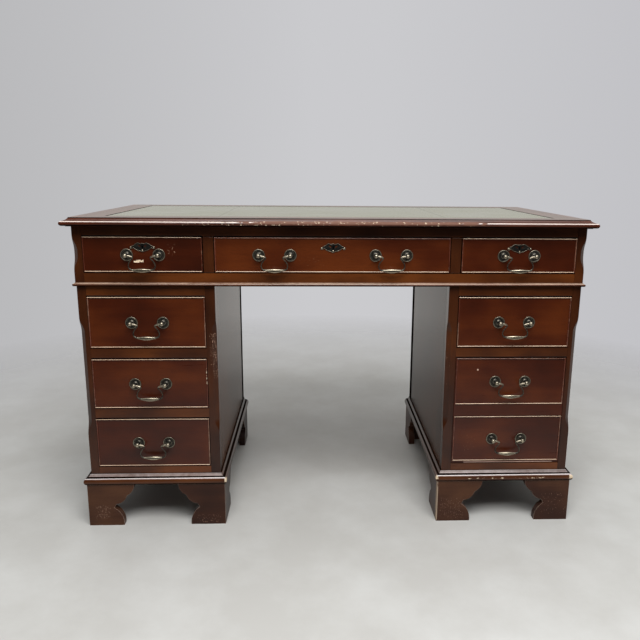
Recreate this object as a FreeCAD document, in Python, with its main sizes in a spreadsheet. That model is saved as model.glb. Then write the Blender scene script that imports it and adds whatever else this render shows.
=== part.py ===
import FreeCAD, Part
import math
import os
import re

# A twin-pedestal kneehole writing desk in three sections: a leather-lined top on a frieze case with
# three drawers, standing on two drawer pedestals with bracket feet.
# The desk stands on z = 0 and is centred on the origin. Its front looks towards -Y and its drawers
# slide out that way. All sizes are in millimetres.

doc = FreeCAD.newDocument("pedestal_desk")
sheet = doc.addObject("Spreadsheet::Sheet", "Sizes")

SIZES = {
    # The top: a board with mitred moulded edges and a leather lining let into it
    "top_width": 1220,
    "top_depth": 600,
    "top_thickness": 20,
    "edge_strip": 38,
    "edge_moulded": 16,
    "edge_quirk": 1.5,
    "edge_hollow": 1.1,
    "nose_radius": 5.5,
    "nose_lift": 1.5,
    "leather_border_side": 82,
    "leather_border_front": 68,
    "leather_thickness": 1.2,
    "leather_inset": 0.3,
    "leather_middle": 534,
    "leather_seam": 0.8,
    # The boards of the case and the pedestals
    "panel": 18,
    "back_board": 9,
    "frame_depth": 22,
    "front_gap": 1,
    "cutter_overrun": 1,
    # The frieze case under the top
    "top_overhang": 18,
    "case_setback": 26,
    "case_back_inset": 10,
    "frieze_post": 21,
    "frieze_divider": 25.5,
    "frieze_top_rail": 23,
    "frieze_bottom_rail": 31.5,
    "frieze_front_height": 81,
    "centre_front_width": 545,
    "bead_height": 8.5,
    "bead_projection": 5.5,
    "bead_nose": 3.2,
    "fixing_block": 32,
    # The pedestals
    "pedestal_inset": 1,
    "kneehole_inset": 1.5,
    "pedestal_step_back": 4,
    "outer_post": 20,
    "inner_post": 23,
    "pedestal_rail": 26,
    "pedestal_top_rail": 25,
    "pedestal_bottom_rail": 44.5,
    "drawer_front_height": 122,
    "dowel_radius": 4,
    "dowel_depth": 12,
    "dowel_spacing": 300,
    "dowel_clearance": 0.1,
    # The stopped chamfers on the corner posts
    "chamfer_leg": 10.5,
    "chamfer_run": 40,
    "frieze_chamfer_top": 18,
    "frieze_chamfer_bottom": 31.5,
    "pedestal_chamfer_top": 72.5,
    "pedestal_chamfer_bottom": 100.5,
    # The plinth moulding and the bracket feet
    "plinth_height": 25.5,
    "plinth_nose": 18,
    "plinth_nose_bulge": 5.5,
    "plinth_quirk": 1.2,
    "plinth_fillet": 2,
    "plinth_hollow": 1,
    "foot_height": 109,
    "foot_projection": 10,
    "foot_thickness": 18,
    "foot_length": 114,
    "foot_upper_lobe": 29,
    "foot_upper_bulge": 5,
    "foot_lower_lobe": 13,
    "foot_lower_bulge": 3.2,
    "foot_cusp": 10,
    "foot_step": 91,
    "foot_waist": 63,
    "foot_toe": 85,
    "foot_toe_bulge": 7.5,
    "rear_bracket_length": 90,
    "rear_bracket_toe": 45,
    "corner_block": 30,
    # The drawers and what they run on
    "front_thickness": 19,
    "cockbead_width": 3,
    "cockbead_proud": 2.2,
    "mock_margin": 1.5,
    "mock_sill": 5,
    "mock_shorter": 4,
    "drawer_side": 11,
    "drawer_back": 11,
    "drawer_bottom": 4,
    "bottom_groove": 5,
    "bottom_rise": 9,
    "box_inset": 2,
    "box_headroom": 17,
    "drawer_rear_gap": 64,
    "runner_width": 22,
    "runner_height": 16,
    "runner_clearance": 0.3,
    "guide_height": 14,
    "guide_clearance": 0.5,
    # The pulls: two posts on dished rosettes and a swan-neck bail between them
    "pull_spacing": 73,
    "pull_drop": 0.5,
    "centre_pull_offset": 135,
    "rosette_radius": 14,
    "rosette_thickness": 1.6,
    "rosette_rim": 1.4,
    "rosette_collar_radius": 7.5,
    "rosette_collar_height": 2.4,
    "post_neck_radius": 3.4,
    "post_ball_radius": 5.4,
    "post_reach": 15,
    "shank_radius": 2.4,
    "shank_clearance": 0.15,
    "nut_radius": 5,
    "nut_height": 4,
    "bail_radius": 2,
    "bail_clearance": 0.05,
    "bail_overrun": 3,
    "bail_elbow_inset": 16.5,
    "bail_elbow_radius": 4.5,
    "bail_turn": 125,
    "bail_bow_inset": 6,
    "bail_bow_radius": 9,
    "grip_radius": 3.6,
    # The locks of the frieze drawers and their pierced escutcheons
    "lock_width": 54,
    "lock_height": 36,
    "lock_wall": 3,
    "lock_bottom_wall": 5,
    "bolt_width": 22,
    "bolt_thickness": 6,
    "bolt_height": 20,
    "bolt_gap": 1,
    "bolt_clearance": 0.3,
    "keyhole_drop": 22,
    "keyhole_radius": 2.4,
    "key_slot_width": 2.2,
    "key_slot_length": 8,
    "escutcheon_thickness": 1.2,
    "escutcheon_ear": 25.5,
    "escutcheon_ear_drop": 2.2,
    "escutcheon_ear_radius": 3,
    "escutcheon_shoulder": 13,
    "escutcheon_rise": 11.5,
    "escutcheon_sweep": 0.8,
    "escutcheon_crest": 9,
    "escutcheon_saddle": 0.6,
    "escutcheon_fall": 11,
    "escutcheon_belly": 3.1,
    "escutcheon_notch": 0.7,
    "escutcheon_eye": 8,
    "escutcheon_eye_radius": 2,
    "pin_radius": 0.9,
    "pin_head": 1.4,
}

# Lines that several pieces share, worked out from the sizes above.
LINES = {
    "drawer_pitch": "drawer_front_height + 2 * front_gap + pedestal_rail",
    "lower_floor": "foot_height + pedestal_bottom_rail",
    "middle_floor": "lower_floor + drawer_pitch",
    "upper_floor": "middle_floor + drawer_pitch",
    "upper_ceiling": "upper_floor + drawer_front_height + 2 * front_gap",
    "pedestal_height": "upper_ceiling + pedestal_top_rail",
    "frieze_floor": "pedestal_height + frieze_bottom_rail",
    "frieze_ceiling": "frieze_floor + frieze_front_height + 2 * front_gap",
    "case_top": "frieze_ceiling + frieze_top_rail",
    "desk_height": "case_top + top_thickness",
    "case_half": "top_width / 2 - top_overhang",
    "case_front": "case_setback - top_depth / 2",
    "case_back": "top_depth / 2 - case_back_inset",
    "back_face": "case_back - back_board",
    "centre_opening": "centre_front_width / 2 + front_gap",
    "side_opening_inner": "centre_opening + frieze_divider",
    "side_opening_outer": "case_half - frieze_post",
    "side_opening_middle": "(side_opening_inner + side_opening_outer) / 2",
    "leather_half": "top_width / 2 - leather_border_side",
    "leather_front": "leather_border_front - top_depth / 2",
    "leather_back": "top_depth / 2 - leather_border_front",
    "leather_bed": "desk_height - leather_thickness - leather_inset",
    "pedestal_outer": "case_half - pedestal_inset",
    "pedestal_inner": "centre_opening + kneehole_inset",
    "pedestal_front": "case_front + pedestal_step_back",
    "opening_inner": "pedestal_inner + inner_post",
    "opening_outer": "pedestal_outer - outer_post",
    "file_front_height": "2 * drawer_front_height + pedestal_rail + 2 * front_gap",
    "mock_height": "drawer_front_height - mock_shorter",
}

row = 0
for alias, entry in {**SIZES, **LINES}.items():
    row += 1
    sheet.set("A%d" % row, alias)
    sheet.set("B%d" % row, "=" + entry if alias in LINES else str(entry))
    sheet.setAlias("B%d" % row, alias)
doc.recompute()

BACKWARDS = FreeCAD.Vector(0, 1, 0)
UP = FreeCAD.Vector(0, 0, 1)
TOWARDS_FRONT = FreeCAD.Rotation(FreeCAD.Vector(1, 0, 0), 90)
ALONG_WIDTH = FreeCAD.Rotation(BACKWARDS, 90)
nodes = []


def sized(formula):
    """The formula with each size name pointed at its cell."""
    return re.sub(r"[a-z][a-z_]+", lambda word: "Sizes." + word.group(), formula)


def number(formula):
    return float(sheet.evalExpression(sized(formula)))


def place(piece, x="0", y="0", z="0"):
    for direction, formula in zip("xyz", (x, y, z)):
        piece.setExpression("Placement.Base." + direction, sized(formula))
    return piece


def turned(piece, turn):
    piece.Placement = FreeCAD.Placement(FreeCAD.Vector(), turn)
    return piece


def board(name, x, y, z):
    """A plain board between three pairs of faces."""
    box = doc.addObject("Part::Box", name)
    for side, (low, high) in zip(("Length", "Width", "Height"), (x, y, z)):
        box.setExpression(side, sized("(%s) - (%s)" % (high, low)))
    return place(box, x[0], y[0], z[0])


def round_bar(name, radius, length, turn=FreeCAD.Rotation()):
    """A round bar from its own origin, along +Z or as turned."""
    bar = doc.addObject("Part::Cylinder", name)
    bar.setExpression("Radius", sized(radius))
    bar.setExpression("Height", sized(length))
    return turned(bar, turn)


def ball(name, radius):
    sphere = doc.addObject("Part::Sphere", name)
    sphere.setExpression("Radius", sized(radius))
    return sphere


def joined(name, pieces):
    fuse = doc.addObject("Part::MultiFuse", name)
    fuse.Shapes = pieces
    return fuse


def cut(name, piece, tools):
    result = doc.addObject("Part::Cut", name)
    result.Base = piece
    result.Tool = tools[0] if len(tools) == 1 else joined(name + "_cutters", tools)
    return result


def formed(name, shape, turn=FreeCAD.Rotation()):
    """A piece with a drawn outline, turned about its own origin."""
    feature = doc.addObject("Part::Feature", name)
    feature.Shape = shape
    return turned(feature, turn)


def node(name, pieces):
    """One named sub-part, holding each of its pieces as a solid of its own."""
    group = doc.addObject("Part::Compound", name)
    group.Label = name
    group.Links = pieces
    nodes.append(group)


def on_side(side, low, high):
    """The pair of faces on the right-hand half, or mirrored on the left."""
    return (low, high) if side == "right" else ("-(%s)" % high, "-(%s)" % low)


def step_edge(before, step):
    """The edge between two steps of an outline: a line, or an arc where the second step has a bow.

    Steps are (across, up) or (across, up, bow) in the XZ plane. A bow stands to the right of the way
    along the edge, so it swells an outline that goes round anticlockwise, and a negative one hollows it.
    """
    start = FreeCAD.Vector(before[0], 0, before[1])
    end = FreeCAD.Vector(step[0], 0, step[1])
    if len(step) == 2:
        return Part.makeLine(start, end)
    rightwards = BACKWARDS.cross(end - start).normalize()
    return Part.Arc(start, (start + end) / 2 + rightwards * step[2], end).toShape()


def outline(steps):
    """The flat face inside a closed round of steps."""
    return Part.Face(Part.Wire([step_edge(*pair) for pair in zip(steps, steps[1:] + steps[:1])]))


def moulding(steps, length, mitre_start, mitre_end):
    """A straight strip along +Y, whose section, in steps (out, up), stands out to +X.

    A mitred end spreads at 45 degrees, so that it meets the next strip of its frame.
    """
    section = outline(steps)
    box = section.BoundBox
    spare = number("cutter_overrun")
    reach = box.XMax + spare
    blank = section.extrude(BACKWARDS * (length + 2 * reach))
    blank.translate(BACKWARDS * -reach)
    low = box.ZMin - spare
    corners = [
        FreeCAD.Vector(0, 0, low),
        FreeCAD.Vector(reach, -reach if mitre_start else 0, low),
        FreeCAD.Vector(reach, length + reach if mitre_end else length, low),
        FreeCAD.Vector(0, length, low),
    ]
    plan = Part.Face(Part.makePolygon(corners + corners[:1]))
    return blank.common(plan.extrude(UP * (box.ZLength + 2 * spare)))


ROUND = ("front", "right", "back", "left")


def moulded_frame(name, steps, x, y, level, sides=ROUND, upright=False):
    """Mitred strips round the outside of a rectangle that lies at a level.

    An upright frame stands behind the desk's front instead: y is its height, and level how far back
    the strips start towards the front.
    """
    starts = {"front": (x[0], y[0]), "right": (x[1], y[0]), "back": (x[1], y[1]), "left": (x[0], y[1])}
    strips = []
    for index, side in enumerate(ROUND):
        if side not in sides:
            continue
        low, high = x if side in ("front", "back") else y
        mitre_start = ROUND[index - 1] in sides
        mitre_end = ROUND[(index + 1) % len(ROUND)] in sides
        turn = FreeCAD.Rotation(UP, 90 * (index - 1))
        strip = formed(
            "%s_%s" % (name, side),
            moulding(steps, number("(%s) - (%s)" % (high, low)), mitre_start, mitre_end),
            TOWARDS_FRONT * turn if upright else turn,
        )
        across, along = starts[side]
        strips.append(place(strip, across, level, along) if upright else place(strip, across, along, level))
    return strips


# The top board carries the leather in a shallow bed.
top_inner_x = ("edge_strip - top_width / 2", "top_width / 2 - edge_strip")
top_inner_y = ("edge_strip - top_depth / 2", "top_depth / 2 - edge_strip")
top_core = board("top_core", top_inner_x, top_inner_y, ("case_top", "desk_height"))
leather_y = ("leather_front", "leather_back")
leather_recess = board(
    "leather_recess",
    ("-leather_half", "leather_half"),
    leather_y,
    ("leather_bed", "desk_height + cutter_overrun"),
)
node("top_board", [cut("top_board_bedded", top_core, [leather_recess])])

# Four solid strips are glued round the board: a flat, a small quirk, a hollow and a bull nose.
nose_seat = number("edge_strip - nose_radius")
edge_section = [
    (0, 0),
    (number("edge_strip - 2 * nose_radius"), 0),
    (number("edge_strip - 2 * nose_radius"), number("nose_lift")),
    (nose_seat, number("nose_lift")),
    (nose_seat, number("nose_lift + 2 * nose_radius"), number("nose_radius")),
    (number("edge_strip - edge_moulded"), number("top_thickness - edge_quirk"), -number("edge_hollow")),
    (number("edge_strip - edge_moulded"), number("top_thickness")),
    (0, number("top_thickness")),
]
node("top_edge_moulding", moulded_frame("top_edge", edge_section, top_inner_x, top_inner_y, "case_top"))

# The writing surface is three skins of leather, side by side with a fine seam between them.
leather_spans = {
    "left": ("-leather_half", "-leather_middle / 2"),
    "middle": ("leather_seam - leather_middle / 2", "leather_middle / 2 - leather_seam"),
    "right": ("leather_middle / 2", "leather_half"),
}
leather_z = ("leather_bed", "leather_bed + leather_thickness")
leather_skins = [board("leather_" + part, span, leather_y, leather_z) for part, span in leather_spans.items()]
node("writing_leather", leather_skins)


def dowel_set(side, wall, across):
    """Two dowels in the upper end of a pedestal's wall that locate the frieze case, and their holes."""
    x = across if side == "right" else "-(%s)" % across
    dowels = []
    holes = []
    for end, y in (("front", "-dowel_spacing / 2"), ("rear", "dowel_spacing / 2")):
        name = "%s_%s_%s_dowel" % (side, wall, end)
        dowel = round_bar(name, "dowel_radius", "2 * dowel_depth")
        hole = round_bar(name + "_hole", "dowel_radius + dowel_clearance", "2 * dowel_depth")
        dowels.append(place(dowel, x, y, "pedestal_height - dowel_depth"))
        holes.append(place(hole, x, y, "pedestal_height - dowel_depth"))
    return dowels, holes


dowels, dowel_holes = {}, {}
for side in ("left", "right"):
    for wall, across in (("outer", "pedestal_outer - panel / 2"), ("inner", "pedestal_inner + panel / 2")):
        dowels[side, wall], dowel_holes[side, wall] = dowel_set(side, wall, across)

# The frieze case: ends, a back, partitions over the pedestals' inner walls, and blocks that hold the top.
case_depth = ("case_front + frame_depth", "case_back")
case_inside = ("case_front + frame_depth", "back_face")
case_height = ("pedestal_height", "case_top")
back_depth = ("back_face", "case_back")
block_depths = {
    "front": (case_inside[0], case_inside[0] + " + fixing_block"),
    "rear": (case_inside[1] + " - fixing_block", case_inside[1]),
}
block_height = ("case_top - fixing_block / 2", "case_top")
frieze_panels = [board("frieze_back", ("panel - case_half", "case_half - panel"), back_depth, case_height)]
for side in ("left", "right"):
    end_x = on_side(side, "case_half - panel", "case_half")
    end_panel = board(side + "_frieze_end_blank", end_x, case_depth, case_height)
    frieze_panels.append(cut(side + "_frieze_end", end_panel, dowel_holes[side, "outer"]))
    partition_x = on_side(side, "pedestal_inner", "pedestal_inner + panel")
    partition = board(side + "_partition_blank", partition_x, case_inside, case_height)
    frieze_panels.append(cut(side + "_partition", partition, dowel_holes[side, "inner"]))
    block_x = on_side(side, "case_half - panel - fixing_block / 2", "case_half - panel")
    for end, depth in block_depths.items():
        frieze_panels.append(board("%s_%s_fixing_block" % (side, end), block_x, depth, block_height))
node("frieze_panels", frieze_panels)


def lambs_tongue(height):
    """The cutter for a chamfer along an upright edge, run out at both ends in an ogee."""
    leg, ramp = number("chamfer_leg"), number("chamfer_run")
    depth = leg / math.sqrt(2)
    lean = math.atan2(depth, ramp)
    bow = math.hypot(depth, ramp) / 4 * math.tan(lean / 2)
    cutter = outline([
        (-leg, 0),
        (0, 0),
        (depth / 2, ramp / 2, -bow),
        (depth, ramp, bow),
        (depth, height - ramp),
        (depth / 2, height - ramp / 2, bow),
        (0, height, -bow),
        (-leg, height),
    ])
    cutter.translate(BACKWARDS * -leg)
    return cutter.extrude(BACKWARDS * (2 * leg))


def corner_post(name, x, y, z, edge, chamfer):
    """A post whose outer front edge, at the low or the high side of it, has a stopped chamfer."""
    inward = FreeCAD.Rotation(UP, 45 if edge == "low" else 135)
    cutter = formed(name + "_chamfer", lambs_tongue(number("(%s) - (%s)" % (chamfer[1], chamfer[0]))), inward)
    place(cutter, x[0] if edge == "low" else x[1], y[0], chamfer[0])
    return cut(name, board(name + "_blank", x, y, z), [cutter])


# The frieze front: two rails, two corner posts and the dividers between the drawers.
case_face = ("case_front", "case_front + frame_depth")
case_rail = ("frieze_post - case_half", "case_half - frieze_post")
case_chamfer = ("pedestal_height + frieze_chamfer_bottom", "case_top - frieze_chamfer_top")
frieze_frame = [
    board("frieze_rail_above", case_rail, case_face, ("frieze_ceiling", "case_top")),
    board("frieze_rail_below", case_rail, case_face, ("pedestal_height", "frieze_floor")),
]
for side, edge in (("left", "low"), ("right", "high")):
    post_x = on_side(side, "case_half - frieze_post", "case_half")
    corner = corner_post(side + "_frieze_corner", post_x, case_face, case_height, edge, case_chamfer)
    divider_x = on_side(side, "centre_opening", "side_opening_inner")
    divider = board(side + "_divider", divider_x, case_face, ("frieze_floor", "frieze_ceiling"))
    frieze_frame += [corner, divider]
node("frieze_front_frame", frieze_frame)


def box_sides(span):
    """The outer faces of a drawer's box in an opening."""
    return "%s + front_gap + box_inset" % span[0], "%s - front_gap - box_inset" % span[1]


def runner_pair(name, walls, opening, depth, floor):
    """A runner under each side of a drawer, with a guide strip on it that keeps the drawer straight."""
    box_low, box_high = box_sides(opening)
    widths = {
        "low": (walls[0], "%s + runner_width" % walls[0]),
        "high": ("%s - runner_width" % walls[1], walls[1]),
    }
    guides = {
        "low": (walls[0], "%s - guide_clearance" % box_low),
        "high": ("%s + guide_clearance" % box_high, walls[1]),
    }
    runner_z = ("%s - runner_height" % floor, floor)
    guide_z = (floor, "%s + guide_height" % floor)
    strips = []
    for hand in ("low", "high"):
        strips.append(board("%s_runner_%s" % (name, hand), widths[hand], depth, runner_z))
        strips.append(board("%s_guide_%s" % (name, hand), guides[hand], depth, guide_z))
    return strips


frieze_spans = {
    "left_frieze": ("-side_opening_outer", "-side_opening_inner"),
    "centre_frieze": ("-centre_opening", "centre_opening"),
    "right_frieze": ("side_opening_inner", "side_opening_outer"),
}
frieze_walls = {
    "left_frieze": ("panel - case_half", "-pedestal_inner - panel"),
    "centre_frieze": ("-pedestal_inner", "pedestal_inner"),
    "right_frieze": ("pedestal_inner + panel", "case_half - panel"),
}
frieze_runners = []
for name, span in frieze_spans.items():
    frieze_runners += runner_pair(name, frieze_walls[name], span, case_inside, "frieze_floor")
node("frieze_runners", frieze_runners)

# A small bead runs round the foot of the frieze case, at the front and the ends.
bead_seat = number("bead_projection - bead_nose")
bead_section = [
    (0, 0),
    (bead_seat, 0),
    (bead_seat, number("2 * bead_nose"), number("bead_nose")),
    (0, number("bead_height")),
]
case_x, case_y = ("-case_half", "case_half"), ("case_front", "case_back")
THREE_SIDES = ("left", "front", "right")
bead_strips = moulded_frame("frieze_bead", bead_section, case_x, case_y, "pedestal_height", THREE_SIDES)
node("frieze_bead_moulding", bead_strips)

# The plinth section: a bull nose over the feet, a quirk, a hollow and a small fillet against the case.
plinth_section = [
    (0, 0),
    (number("foot_projection"), 0),
    (number("foot_projection"), number("plinth_nose"), number("plinth_nose_bulge")),
    (number("foot_projection - plinth_quirk"), number("plinth_nose")),
    (number("plinth_fillet"), number("plinth_height - plinth_fillet"), -number("plinth_hollow")),
    (number("plinth_fillet"), number("plinth_height")),
    (0, number("plinth_height")),
]

# A bracket's face from its outer corner: a rounded toe and two lobes with a cusp below each, or a plain
# slope at the back.
foot_top = number("foot_height")
upper_lobe = number("foot_height - foot_upper_lobe")
lower_lobe = number("foot_height - foot_upper_lobe - foot_cusp - foot_lower_lobe")
scroll_bracket = outline([
    (0, 0),
    (number("foot_toe"), 0),
    (number("foot_waist"), lower_lobe - number("foot_cusp"), number("foot_toe_bulge")),
    (number("foot_waist + foot_cusp / 2"), lower_lobe),
    (number("foot_step"), upper_lobe - number("foot_cusp"), number("foot_lower_bulge")),
    (number("foot_step + foot_cusp / 2"), upper_lobe),
    (number("foot_length"), foot_top, number("foot_upper_bulge")),
    (0, foot_top),
])
plain_bracket = outline([
    (0, 0),
    (number("rear_bracket_toe"), 0),
    (number("rear_bracket_length"), foot_top),
    (0, foot_top),
])


def bracket_feet(side, wall_low, wall_high):
    """Four feet of two brackets each, with a block glued into every corner."""
    low, high = "%s - foot_projection" % wall_low, "%s + foot_projection" % wall_high
    low_inside, high_inside = low + " + foot_thickness", high + " - foot_thickness"
    front, back = "pedestal_front - foot_projection", "case_back"
    front_inside, back_inside = front + " + foot_thickness", back + " - foot_thickness"
    brackets = {
        "front_low": (scroll_bracket, 0, low, front),
        "front_high": (scroll_bracket, 180, high, front_inside),
        "low_front": (scroll_bracket, 90, low_inside, front_inside),
        "high_front": (scroll_bracket, 90, high, front_inside),
        "low_rear": (scroll_bracket, -90, low, back),
        "high_rear": (scroll_bracket, -90, high_inside, back),
        "back_low": (plain_bracket, 0, low_inside, back_inside),
        "back_high": (plain_bracket, 180, high_inside, back),
    }
    feet = []
    for name, (face, angle, x, y) in brackets.items():
        blank = face.extrude(BACKWARDS * number("foot_thickness"))
        feet.append(place(formed("%s_bracket_%s" % (side, name), blank, FreeCAD.Rotation(UP, angle)), x, y))
    block_x = {
        "low": (low_inside, low_inside + " + corner_block"),
        "high": (high_inside + " - corner_block", high_inside),
    }
    block_y = {
        "front": (front_inside, front_inside + " + corner_block"),
        "rear": (back_inside + " - corner_block", back_inside),
    }
    for hand, x in block_x.items():
        for end, y in block_y.items():
            feet.append(board("%s_block_%s_%s" % (side, hand, end), x, y, ("0", "foot_height")))
    return feet


# Two pedestals, alike but for the right one's deep drawer, whose frame has no rail behind the mock one.
pedestal_face = ("pedestal_front", "pedestal_front + frame_depth")
pedestal_depth = ("pedestal_front + frame_depth", "case_back")
pedestal_inside = ("pedestal_front + frame_depth", "back_face")
pedestal_z = ("foot_height", "pedestal_height")
pedestal_chamfer = (
    "foot_height + plinth_height + pedestal_chamfer_bottom",
    "pedestal_height - pedestal_chamfer_top",
)
FLOORS = {
    "left": {"upper": "upper_floor", "middle": "middle_floor", "lower": "lower_floor"},
    "right": {"upper": "upper_floor", "file": "lower_floor"},
}
pedestal_openings = {}
for side in ("left", "right"):
    walls = on_side(side, "pedestal_inner", "pedestal_outer")
    between_walls = on_side(side, "pedestal_inner + panel", "pedestal_outer - panel")
    opening = on_side(side, "opening_inner", "opening_outer")
    pedestal_openings[side] = opening

    wall_spans = {
        "inner": on_side(side, "pedestal_inner", "pedestal_inner + panel"),
        "outer": on_side(side, "pedestal_outer - panel", "pedestal_outer"),
    }
    panels = [
        board(side + "_back", between_walls, back_depth, pedestal_z),
        board(side + "_cap", between_walls, pedestal_inside, ("pedestal_height - panel", "pedestal_height")),
        board(side + "_floor", between_walls, pedestal_inside, ("foot_height", "foot_height + panel")),
    ]
    for wall, span in wall_spans.items():
        blank = board("%s_%s_wall_blank" % (side, wall), span, pedestal_depth, pedestal_z)
        panels.append(cut("%s_%s_wall" % (side, wall), blank, dowel_holes[side, wall]))
        panels += dowels[side, wall]
    node(side + "_pedestal_panels", panels)

    low_x, high_x = (walls[0], opening[0]), (opening[1], walls[1])
    frame = [
        corner_post(side + "_low_corner", low_x, pedestal_face, pedestal_z, "low", pedestal_chamfer),
        corner_post(side + "_high_corner", high_x, pedestal_face, pedestal_z, "high", pedestal_chamfer),
        board(side + "_rail_top", opening, pedestal_face, ("upper_ceiling", "pedestal_height")),
        board(side + "_rail_bottom", opening, pedestal_face, ("foot_height", "lower_floor")),
    ]
    runners = []
    for level, floor in FLOORS[side].items():
        name = "%s_%s" % (side, level)
        runners += runner_pair(name, between_walls, opening, pedestal_inside, floor)
        if floor != "lower_floor":
            frame.append(board(name + "_rail", opening, pedestal_face, (floor + " - pedestal_rail", floor)))
    node(side + "_pedestal_front_frame", frame)
    node(side + "_drawer_runners", runners)

    plinth_y = ("pedestal_front", "case_back")
    plinth = moulded_frame(side + "_plinth", plinth_section, walls, plinth_y, "foot_height", THREE_SIDES)
    node(side + "_plinth_moulding", plinth)
    node(side + "_bracket_feet", bracket_feet(side, *walls))

# A pull's turned parts, from the face of a front outwards: a dished rosette with a raised rim and a collar,
# a ball-headed post whose shank goes through the front, and the nut inside.
rosette_plate = round_bar("rosette_plate", "rosette_radius", "rosette_thickness", TOWARDS_FRONT)
rosette_rim = turned(doc.addObject("Part::Torus", "rosette_rim"), TOWARDS_FRONT)
rosette_rim.setExpression("Radius1", sized("rosette_radius - rosette_rim"))
rosette_rim.setExpression("Radius2", sized("rosette_rim"))
place(rosette_rim, y="-rosette_thickness")
rosette_collar = turned(doc.addObject("Part::Cone", "rosette_collar"), TOWARDS_FRONT)
rosette_collar.setExpression("Radius1", sized("rosette_collar_radius"))
rosette_collar.setExpression("Radius2", sized("post_neck_radius"))
rosette_collar.setExpression("Height", sized("rosette_collar_height"))
place(rosette_collar, y="-rosette_thickness")
rosette_blank = joined("rosette_blank", [rosette_plate, rosette_rim, rosette_collar])
shank_bore = "shank_radius + shank_clearance"
rosette_bore = round_bar("rosette_bore", shank_bore, "cutter_overrun + post_reach", TOWARDS_FRONT)
place(rosette_bore, y="cutter_overrun")
rosette = cut("rosette", rosette_blank, [rosette_bore])

post_seat = "rosette_thickness + rosette_collar_height"
post_neck = round_bar("post_neck", "post_neck_radius", "post_reach - (%s)" % post_seat, TOWARDS_FRONT)
place(post_neck, y="-(%s)" % post_seat)
post_ball = place(ball("post_ball", "post_ball_radius"), y="-post_reach")
shank_length = "front_thickness + nut_height + post_reach"
post_shank = round_bar("post_shank", "shank_radius", shank_length, TOWARDS_FRONT)
place(post_shank, y="front_thickness + nut_height")
post_blank = joined("post_blank", [post_neck, post_ball, post_shank])
eye_length = "2 * (post_ball_radius + cutter_overrun)"
post_eye = round_bar("post_eye", "bail_radius + bail_clearance", eye_length, ALONG_WIDTH)
place(post_eye, x="-post_ball_radius - cutter_overrun", y="-post_reach")
post = cut("post", post_blank, [post_eye])

nut_blank = turned(doc.addObject("Part::Prism", "nut_blank"), TOWARDS_FRONT)
nut_blank.Polygon = 6
nut_blank.setExpression("Circumradius", sized("nut_radius"))
nut_blank.setExpression("Height", sized("nut_height"))
place(nut_blank, y="front_thickness + nut_height")
nut_bore = round_bar("nut_bore", shank_bore, "nut_height + 2 * cutter_overrun", TOWARDS_FRONT)
place(nut_bore, y="front_thickness + nut_height + cutter_overrun")
nut = cut("nut", nut_blank, [nut_bore])


def bail_shape():
    """A swan-neck bail in its own plane: its hinge line is X, and it hangs towards -Z.

    From each post the wire runs inwards, turns down and outwards at the elbow, and turns back in at the
    bow to the swelling grip.
    """
    turn = math.radians(number("bail_turn"))
    elbow_radius, bow_radius = number("bail_elbow_radius"), number("bail_bow_radius")
    tip = number("pull_spacing / 2 + bail_overrun")
    elbow = number("pull_spacing / 2 - bail_elbow_inset + bail_elbow_radius")
    elbow_end = (elbow - elbow_radius * math.sin(turn), elbow_radius * (math.cos(turn) - 1))
    bow_middle = number("pull_spacing / 2 - bail_bow_inset - bail_bow_radius")
    bow_start = bow_middle + bow_radius * math.sin(turn)
    arm_drop = (bow_start - elbow_end[0]) * math.tan(turn)
    level = elbow_end[1] + arm_drop + bow_radius * (math.cos(turn) - 1)
    swell_of_turn = 1 - math.cos(turn / 2)
    path = [
        (tip, 0),
        (elbow, 0),
        (*elbow_end, elbow_radius * swell_of_turn),
        (bow_start, elbow_end[1] + arm_drop),
        (bow_middle, level, -bow_radius * swell_of_turn),
    ]
    wire = number("bail_radius")
    section = Part.Wire([Part.makeCircle(wire, FreeCAD.Vector(tip, 0, 0), FreeCAD.Vector(-1, 0, 0))])
    neck = Part.Wire([step_edge(*pair) for pair in zip(path, path[1:])]).makePipeShell([section], True, False)
    other_neck = neck.mirror(FreeCAD.Vector(), FreeCAD.Vector(1, 0, 0))
    half_grip = outline([
        (-bow_middle, level),
        (bow_middle, level),
        (bow_middle, level + wire),
        (-bow_middle, level + wire, number("grip_radius - bail_radius")),
    ])
    grip = half_grip.revolve(FreeCAD.Vector(0, 0, level), FreeCAD.Vector(1, 0, 0), 360)
    return neck.fuse([other_neck, grip]).removeSplitter()


bail = bail_shape()

# An escutcheon about its keyhole: a winged plate with a saddle between its shoulders, pierced by two eyes
# and the keyhole, and held by a round-headed pin in each ear.
ear, ear_level = number("escutcheon_ear"), -number("escutcheon_ear_drop")
ear_radius = number("escutcheon_ear_radius")
half_plate = outline([
    (0, -number("escutcheon_fall")),
    (ear - 2 * ear_radius, ear_level, number("escutcheon_belly")),
    (ear, ear_level - ear_radius, -number("escutcheon_notch")),
    (ear, ear_level + ear_radius, ear_radius),
    (number("escutcheon_shoulder"), number("escutcheon_rise"), -number("escutcheon_sweep")),
    (0, number("escutcheon_crest"), -number("escutcheon_saddle")),
]).extrude(BACKWARDS * -number("escutcheon_thickness"))
other_half = half_plate.mirror(FreeCAD.Vector(), FreeCAD.Vector(1, 0, 0))
plate_blank = formed("plate_blank", half_plate.fuse(other_half).removeSplitter())
plate_bore = "escutcheon_thickness + 2 * cutter_overrun"
key_slot_x = ("-key_slot_width / 2", "key_slot_width / 2")
key_slot_y = ("-escutcheon_thickness - cutter_overrun", "cutter_overrun")
plate_cutters = [
    place(round_bar("plate_keyhole", "keyhole_radius", plate_bore, TOWARDS_FRONT), y="cutter_overrun"),
    board("plate_key_slot", key_slot_x, key_slot_y, ("-key_slot_length", "0")),
]
pins = []
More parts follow.
